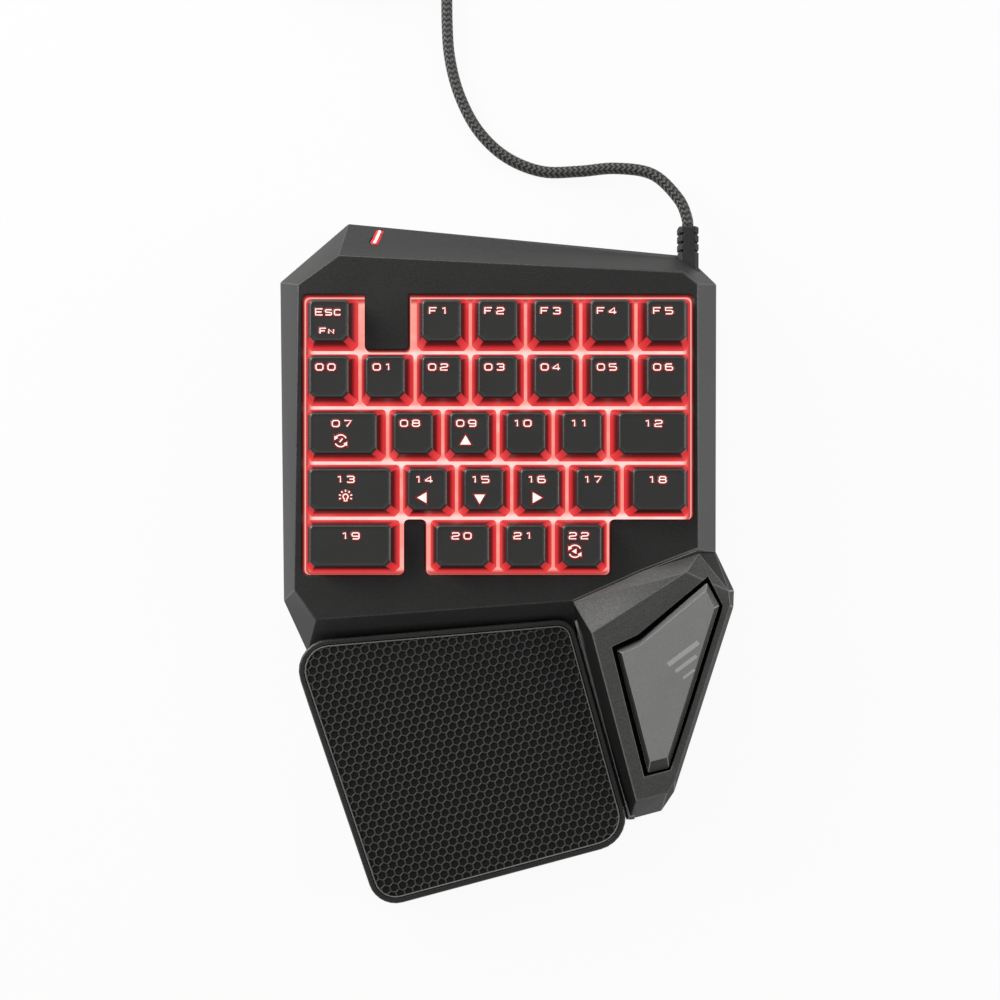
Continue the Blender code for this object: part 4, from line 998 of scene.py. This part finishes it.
def makeMarks():
    facts = markFacts
    layers = (  # name, stroke, room around a prism, height, place and look
        ("mark_", facts["stroke"], 0, facts["strokeHigh"], 2 * facts["lift"], markCore),
        # the halo layer is a painted red glow
        ("mark_painted_halo_", facts["halo"], facts["haloAround"], facts["haloHigh"], facts["lift"], markHalo),
    )
    for name in keyNames:
        low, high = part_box(name)
        middle = Vector(((low.x + high.x) / 2, (low.y + high.y) / 2, 0))
        word = name[4:]
        lines = wordOn(word, middle)
        prisms = []
        if word in facts["triangles"]:
            prisms.append((3, facts["triangle"], shifted(middle, facts["triangleShift"]),
                           math.radians(facts["triangles"][word])))
        if word in signs:
            moreLines, morePrisms = signs[word](middle)
            lines += moreLines
            prisms += morePrisms
        for start, stroke, around, tall, lift, look in layers:
            rise = facts["plateau"] + lift
            bm = bmesh.new()
            strokesMesh(bm, lines, stroke, tall, rise)
            for sides, radius, centre, turn in prisms:
                prismInto(bm, sides, radius + around, centre, turn, rise, tall)
            pieceFrom(start + word, bm, look, name, smooth=False)


makeMarks()
print("keys and marks ready", len(keyNames))

# deck under the keys with a painted glow, with the switches on it

deckFacts = {
    "plateTop": 12.0 * mm,
    "pitch": 19.05 * mm,
    "plateFade": (0.15 * mm, 0.30 * mm),  # over the plate's top
    "upFade": (0.5, 0.9),  # upward share of the normal
    # the colours below are the plate's painted glow; plate is a pink base that is a painted red cast
    "border": (0.27, 0.022, 0.022, 1),
    "borderFade": (-0.5 * mm, 1.6 * mm),  # inwards from the border of the field of keys
    "vertical": (0.80, 0.31, 0.26, 1),  # in the gaps between neighbours in a row
    "level": (0.93, 0.74, 0.70, 1),  # in the gaps between the rows
    "levelFade": (0, 2.4 * mm),  # inwards from the border
    "gapFade": (0.4 * mm, 2.6 * mm),  # away from a gap's middle
    "gapLevel": 0.9,
    "patchScale": 150,
    "patches": 1.1,
    "plate": tint(200, 120, 115),
    "switchTop": tint(26, 26, 26),
}


def deckPaintedGlowFinish():
    # the plate's emission is a painted glow, whiter along the gaps between the rows, over a pink base
    # that is a painted red cast
    facts = deckFacts
    recipe = Recipe("deckGlow", {"Roughness": 0.5, "Emission Strength": 1.0})
    where = recipe.place()
    across, along = where.part("X"), where.part("Y")
    edge = (across - fieldLow.x).maths("MINIMUM", fieldHigh.x - across)
    edge = edge.maths("MINIMUM", along - fieldLow.y).maths("MINIMUM", fieldHigh.y - along)
    plate = 1 - where.part("Z").between(*[facts["plateTop"] + rise for rise in facts["plateFade"]])
    up = recipe.facing().part("Z").between(*facts["upFade"])
    rows = (along - (fieldLow.y - 0.5 * mm)) / facts["pitch"]
    fromGap = abs((rows + 0.5).maths("FRACT") - 0.5) * facts["pitch"]
    patches = (recipe.noise(facts["patchScale"], 2, 0.5) - 0.5) * facts["patches"]
    white = (1 - fromGap.between(*facts["gapFade"])) * facts["gapLevel"] + patches
    white = white.held() * edge.between(*facts["levelFade"])
    red = recipe.mix(edge.between(*facts["borderFade"]), facts["border"], facts["vertical"])
    lit = recipe.mix(white, red, facts["level"])
    recipe.feed({
        "Base Color": recipe.mix(plate, facts["switchTop"], facts["plate"]),
        "Emission Color": recipe.mix(plate * up, (0, 0, 0, 1), lit),
    })
    return recipe.material


paint(deckPaintedGlowFinish(), "switch_plate")

# palm rest

restFacts = toned((28, 28, 27), (43, 43, 42), softEdge=0.22 * mm, sharper=25)
restFinish = plasticAndHighlightedEdge("restPlastic", restFacts, 1.6)
softCopy("palm_rest_base", restFacts, restFinish, "palm_rest", wanted=outside)

padFacts = {
    "pitch": 3.0 * mm,  # between the middles of neighbouring cells
    "turn": 15,  # degrees from the keypad's own across
    # width and drop of half a ridge's flat top, its slope and the cell's steep wall
    "steps": ((0.12 * mm, 0), (0.15 * mm, 0.14 * mm), (0.06 * mm, 0.30 * mm)),
    "thick": 1.3 * mm,
    "bead": 0.50 * mm,
    "beadSink": 0.05 * mm,
    "reach": 40,  # cells tried each way from the middle
    "looks": (  # name, dark and light tone, shine
        # the cells are painted darker as shade in their recesses, and the bead painted light as a
        # highlight
        ("pad_ridge", (38, 38, 37), (66, 66, 64), 0.5),
        ("pad_cell", (19, 19, 18), (30, 30, 29), 0.25),
        ("pad_bead", (92, 92, 90), (126, 126, 124), 0.5),
    ),
}


def padFrame():
    # the top plane of the pad and its outline, drawn in by half the bead and by the whole bead
    bm = merged("palm_rest_pad")
    top = max(bm.faces, key=lambda face: face.normal.z * face.calc_area())
    normal = top.normal.copy()
    middle = top.calc_center_median()
    loops = []
    for _ in range(2):
        bmesh.ops.inset_region(bm, faces=[top], thickness=padFacts["bead"] / 2, use_even_offset=True)
        loops.append([vert.co.copy() for vert in top.verts])
    bm.free()
    return normal, middle, loops


def padSides(outline):
    # a point and the outward direction of each side of the outline
    sides = []
    for before, after in zip(outline, outline[1:] + outline[:1]):
        way = (after - before).xy
        if way.length > 0.01 * mm:
            sides.append((before.xy, Vector((way.y, -way.x)).normalized()))
    return sides


def cellSheet(middle, sides):
    # hexagons side by side over the outline and a little past it
    facts = padFacts
    first = towards(facts["turn"]).xy * facts["pitch"]
    second = towards(facts["turn"] + 60).xy * facts["pitch"]
    bm = bmesh.new()
    bmesh.ops.create_circle(bm, cap_ends=True, segments=6, radius=facts["pitch"] / math.sqrt(3),
                            matrix=Matrix.Rotation(math.radians(facts["turn"]), 4, "Z"))
    cell = meshFrom("cell", bm)
    bm = bmesh.new()
    reach = range(-facts["reach"], facts["reach"] + 1)
    last = Vector((0, 0))
    for row in reach:
        for column in reach:
            spot = middle.xy + first * column + second * row
            if all((spot - place).dot(out) < facts["pitch"] for place, out in sides):
                cell.transform(Matrix.Translation((*(spot - last), 0)))
                last = spot
                bm.from_mesh(cell)
    bpy.data.meshes.remove(cell)
    bmesh.ops.remove_doubles(bm, verts=bm.verts, dist=0.02 * mm)
    bmesh.ops.recalc_face_normals(bm, faces=bm.faces)
    if sum(face.normal.z for face in bm.faces) < 0:
        bmesh.ops.reverse_faces(bm, faces=bm.faces)
    return bm


def honeycomb():
    facts = padFacts
    normal, middle, (beadLine, outline) = padFrame()
    sides = padSides(outline)
    bm = cellSheet(middle, sides)
    cells = list(bm.faces)
    print("cells", len(cells), "corners", len(bm.verts))
    for width, drop in facts["steps"]:
        made = bmesh.ops.inset_individual(bm, faces=cells, thickness=width, depth=-drop,
                                          use_even_offset=True)
    markFaces([*made["faces"], *cells], 1)
    for place, out in sides:
        bmesh.ops.bisect_plane(bm, geom=[*bm.verts, *bm.edges, *bm.faces], dist=0.0005 * mm,
                               plane_co=(*place, 0), plane_no=(*out, 0), clear_outer=True)
    rim = [edge for edge in bm.edges if edge.is_boundary]
    made = bmesh.ops.extrude_edge_only(bm, edges=rim)
    under = [item for item in made["geom"] if isinstance(item, bmesh.types.BMVert)]
    bmesh.ops.scale(bm, vec=(1, 1, 0), verts=under)
    bmesh.ops.translate(bm, vec=(0, 0, -facts["thick"]), verts=under)
    bottom = [item for item in made["geom"] if isinstance(item, bmesh.types.BMEdge)
              and all(vert.co.z < -facts["thick"] + 0.01 * mm for vert in item.verts)]
    bmesh.ops.edgeloop_fill(bm, edges=bottom)
    leanOnto(bm, middle, normal)
    line = [point - normal * facts["beadSink"] for point in beadLine]
    tube = curveMesh("padBead", [line], facts["bead"] / 2, 2, True)
    tube.shade_smooth()
    markFaces(tube.polygons, 2)
    takeIn(bm, tube)
    return bm


padFinish = [plastic(name, dark, light, rough=0.60, speckle=0.9, shine=shine)
             for name, dark, light, shine in padFacts["looks"]]
pad = pieceFrom("palm_rest_pad.cells", honeycomb(), padFinish, "palm_rest", smooth=False)
standFor(pad, "palm_rest_pad")
print("pad faces", len(pad.data.polygons))

# thumb key

thumbFacts = toned((120, 120, 118), (152, 152, 150), keyFacts, softEdge=0.20 * mm, rough=0.40,
                   speckle=0.8, speckleScale=2200)
# painted light and shade: each way the key's faces turn takes a lighter or darker copy of its plastic,
# and the ridge's edge a painted highlight
thumbPaintedShades = {  # dark and light tone of each part of the key
    "thumbRear": (88, 110),
    "thumbRidge": (118, 140),
    "thumbSide": (38, 56),
    "thumbFront": (62, 84),
}


def thumbLook(name, tones):
    dark, light = tones
    return plastic(name, [dark] * 3, [light] * 3, thumbFacts)


def thumbShadeChoice(middle, normal, mark):
    # faces turned rear, sideways or forwards take painted shade, rear-facing softened edges a painted
    # highlight
    rearward = normal.y > 0.12 and normal.x < 0.2
    if mark == 1:
        return "thumbRidge" if rearward and normal.z > 0.55 else None
    if normal.z > 0.97:
        return None
    if rearward:
        return "thumbRear"
    return "thumbFront" if normal.y < -0.45 else "thumbSide"


thumbFinish = plasticAndHighlightedEdge("thumbPlastic", thumbFacts, 1.0)
thumb = softCopy("thumb_key", thumbFacts, thumbFinish, "thumb_key")
refinish(thumb, {name: thumbLook(name, tones) for name, tones in thumbPaintedShades.items()}, thumbShadeChoice)

thumbBars = {
    "middle": (60.2, -31.0),  # of the longest bar, in millimetres
    "way": (0.80, 0.60),
    "apart": 3.4,
    "lengths": (13.0, 9.0, 5.0),
    "widths": (1.7, 1.3, 0.9),
    "thick": 0.06,
    "shift": -1.3,
    "round": 0.25 * mm,
    "tones": (162, 188),
}


def makeThumbBars():
    # three plain bars side by side, each shorter than the one before
    facts = thumbBars
    middle, normal = widestFace("thumb_key", lambda normal: normal.z > 0.9)
    way = Vector(facts["way"])
    side = Vector((way.y, -way.x))
    turn = Matrix.Rotation(math.atan2(way.y, way.x), 4, "Z")
    bm = bmesh.new()
    for number, (length, width) in enumerate(zip(facts["lengths"], facts["widths"])):
        centre = (Vector(facts["middle"]) + side * facts["apart"] * number
                  + way * facts["shift"] * number)
        size = Matrix.Diagonal((length * mm, width * mm, facts["thick"] * mm, 1))
        bmesh.ops.create_cube(bm, size=1, matrix=Matrix.Translation((*(centre * mm), 0)) @ turn @ size)
    leanOnto(bm, middle, normal)
    ends = [edge for edge in bm.edges if abs((edge.verts[0].co - edge.verts[1].co).z) > 0.05 * mm
            and edge.calc_length() < 0.2 * mm]
    roundOff(bm, ends, facts["round"], 2, clamp=True)
    pieceFrom("thumb_bars", bm, thumbLook("thumbPrint", facts["tones"]), "thumb_key", smooth=False)


makeThumbBars()

# status light: a lit bar in the rear slope

lightFacts = {
    "front": (-45.95, 111.5),  # ends of its middle line, in millimetres
    "rear": (-44.70, 116.0),
    "sink": 0.02 * mm,  # of the lens under the slope
    "bars": ((2.8 * mm, 0.05 * mm), (1.10 * mm, 0.10 * mm)),  # width and rise of rim and core
    "thick": 0.16 * mm,
    "red": tint(196, 30, 34),
    "white": (1.0, 0.86, 0.84, 1),
}


def makeStatusLight():
    facts = lightFacts
    bm = merged("status_light")
    middle, normal = widestFace("top_cover", lambda normal: normal.y > 0.5 and normal.z > 0.6)
    line = [(False, [Vector((*end, 0)) * mm for end in (facts["front"], facts["rear"])])]
    markFaces(bm.faces, 0)
    for vert in bm.verts:
        proud = (vert.co - middle).dot(normal) + facts["sink"]
        if proud > 0:
            vert.co -= normal * proud
    bars = bmesh.new()
    for number, (width, rise) in enumerate(facts["bars"], 1):
        strokesMesh(bars, line, width, facts["thick"], rise, number)
        for end in line[0][1]:
            prismInto(bars, 16, width / 2, end, 0, rise, facts["thick"], number)
    leanOnto(bars, middle, normal)
    takeIn(bm, meshFrom("lightBars", bars))
    looks = [shellFinish[0].material, glow("lensRed", facts["red"], 1.0, tint(150, 20, 24)),
             glow("lensWhite", facts["white"], 1.0, tint(230, 200, 198))]
    standFor(pieceFrom("status_light.lens", bm, looks), "status_light")


makeStatusLight()
print("status light ready")

# small parts

rubberFacts = toned((26, 26, 26), (42, 42, 42), rough=0.72, softEdge=0.15 * mm)
rubberFinish = plasticAndHighlightedEdge("softRubber", rubberFacts, 1.9)
softCopy("strain_relief", rubberFacts, rubberFinish)

boardFacts = {
    "grid": 2.54 * mm,
    "mask": tint(10, 44, 28),
    "track": tint(18, 66, 42),
    "trackFade": (0.06, 0.12),  # shares of the grid from its lines
    "pad": tint(196, 196, 190),
    "padFade": (0.14, 0.18),
}


def boardFinish():
    # solder mask over copper: dark green with slightly raised tracks and small pale pads
    facts = boardFacts
    recipe = Recipe("boardGreen", {"IOR": 1.5})
    where = recipe.place()
    across = abs((where.part("X") / facts["grid"]).maths("FRACT") - 0.5)
    along = abs((where.part("Y") / facts["grid"]).maths("FRACT") - 0.5)
    track = 1 - across.between(*facts["trackFade"])
    track = track * recipe.noise(90, 1, 0.5, where).between(0.48, 0.52)
    pad = (1 - across.between(*facts["padFade"])) * (1 - along.between(*facts["padFade"]))
    pad = pad * recipe.noise(160, 1, 0.5, where).between(0.55, 0.60)
    mask = recipe.mix(track, facts["mask"], facts["track"])
    recipe.feed({"Base Color": recipe.mix(pad, mask, facts["pad"]), "Roughness": 0.42 - pad * 0.12,
                 "Metallic": pad, "Normal": recipe.bump(track + pad, 0.04 * mm)})
    return recipe.material


def metalFinish(name, colour, rough):
    # rolled metal with fine wear and a faint cloudiness
    recipe = Recipe(name, {"Metallic": 1.0})
    cloud = recipe.noise(300, 3, 0.6)
    scratch = recipe.noise(4000, 2, 0.6)
    darker = tuple(level * 0.72 for level in colour[:3]) + (1,)
    recipe.feed({"Base Color": recipe.mix(cloud.between(0.35, 0.65), darker, colour),
                 "Roughness": rough + (cloud - 0.5) * 0.16 + (scratch - 0.5) * 0.10,
                 "Normal": recipe.bump(scratch, 0.006 * mm)})
    return recipe.material


paint(rubberFinish[0].material, "foot_", "rest_foot_", "usb_plug_body")
paint(boardFinish(), "circuit_board", "thumb_board")
paint(plastic("switchBlack", (22, 22, 24), (34, 34, 36)), "thumb_switch")
paint(metalFinish("screwSteel", tint(118, 118, 120), 0.38), "screw_", "rest_screw_")
paint(metalFinish("plugNickel", tint(206, 204, 200), 0.26), "usb_plug_shell")
paint(plastic("tongueWhite", (196, 196, 192), (220, 220, 216)), "usb_plug_tongue")
print("small parts ready")
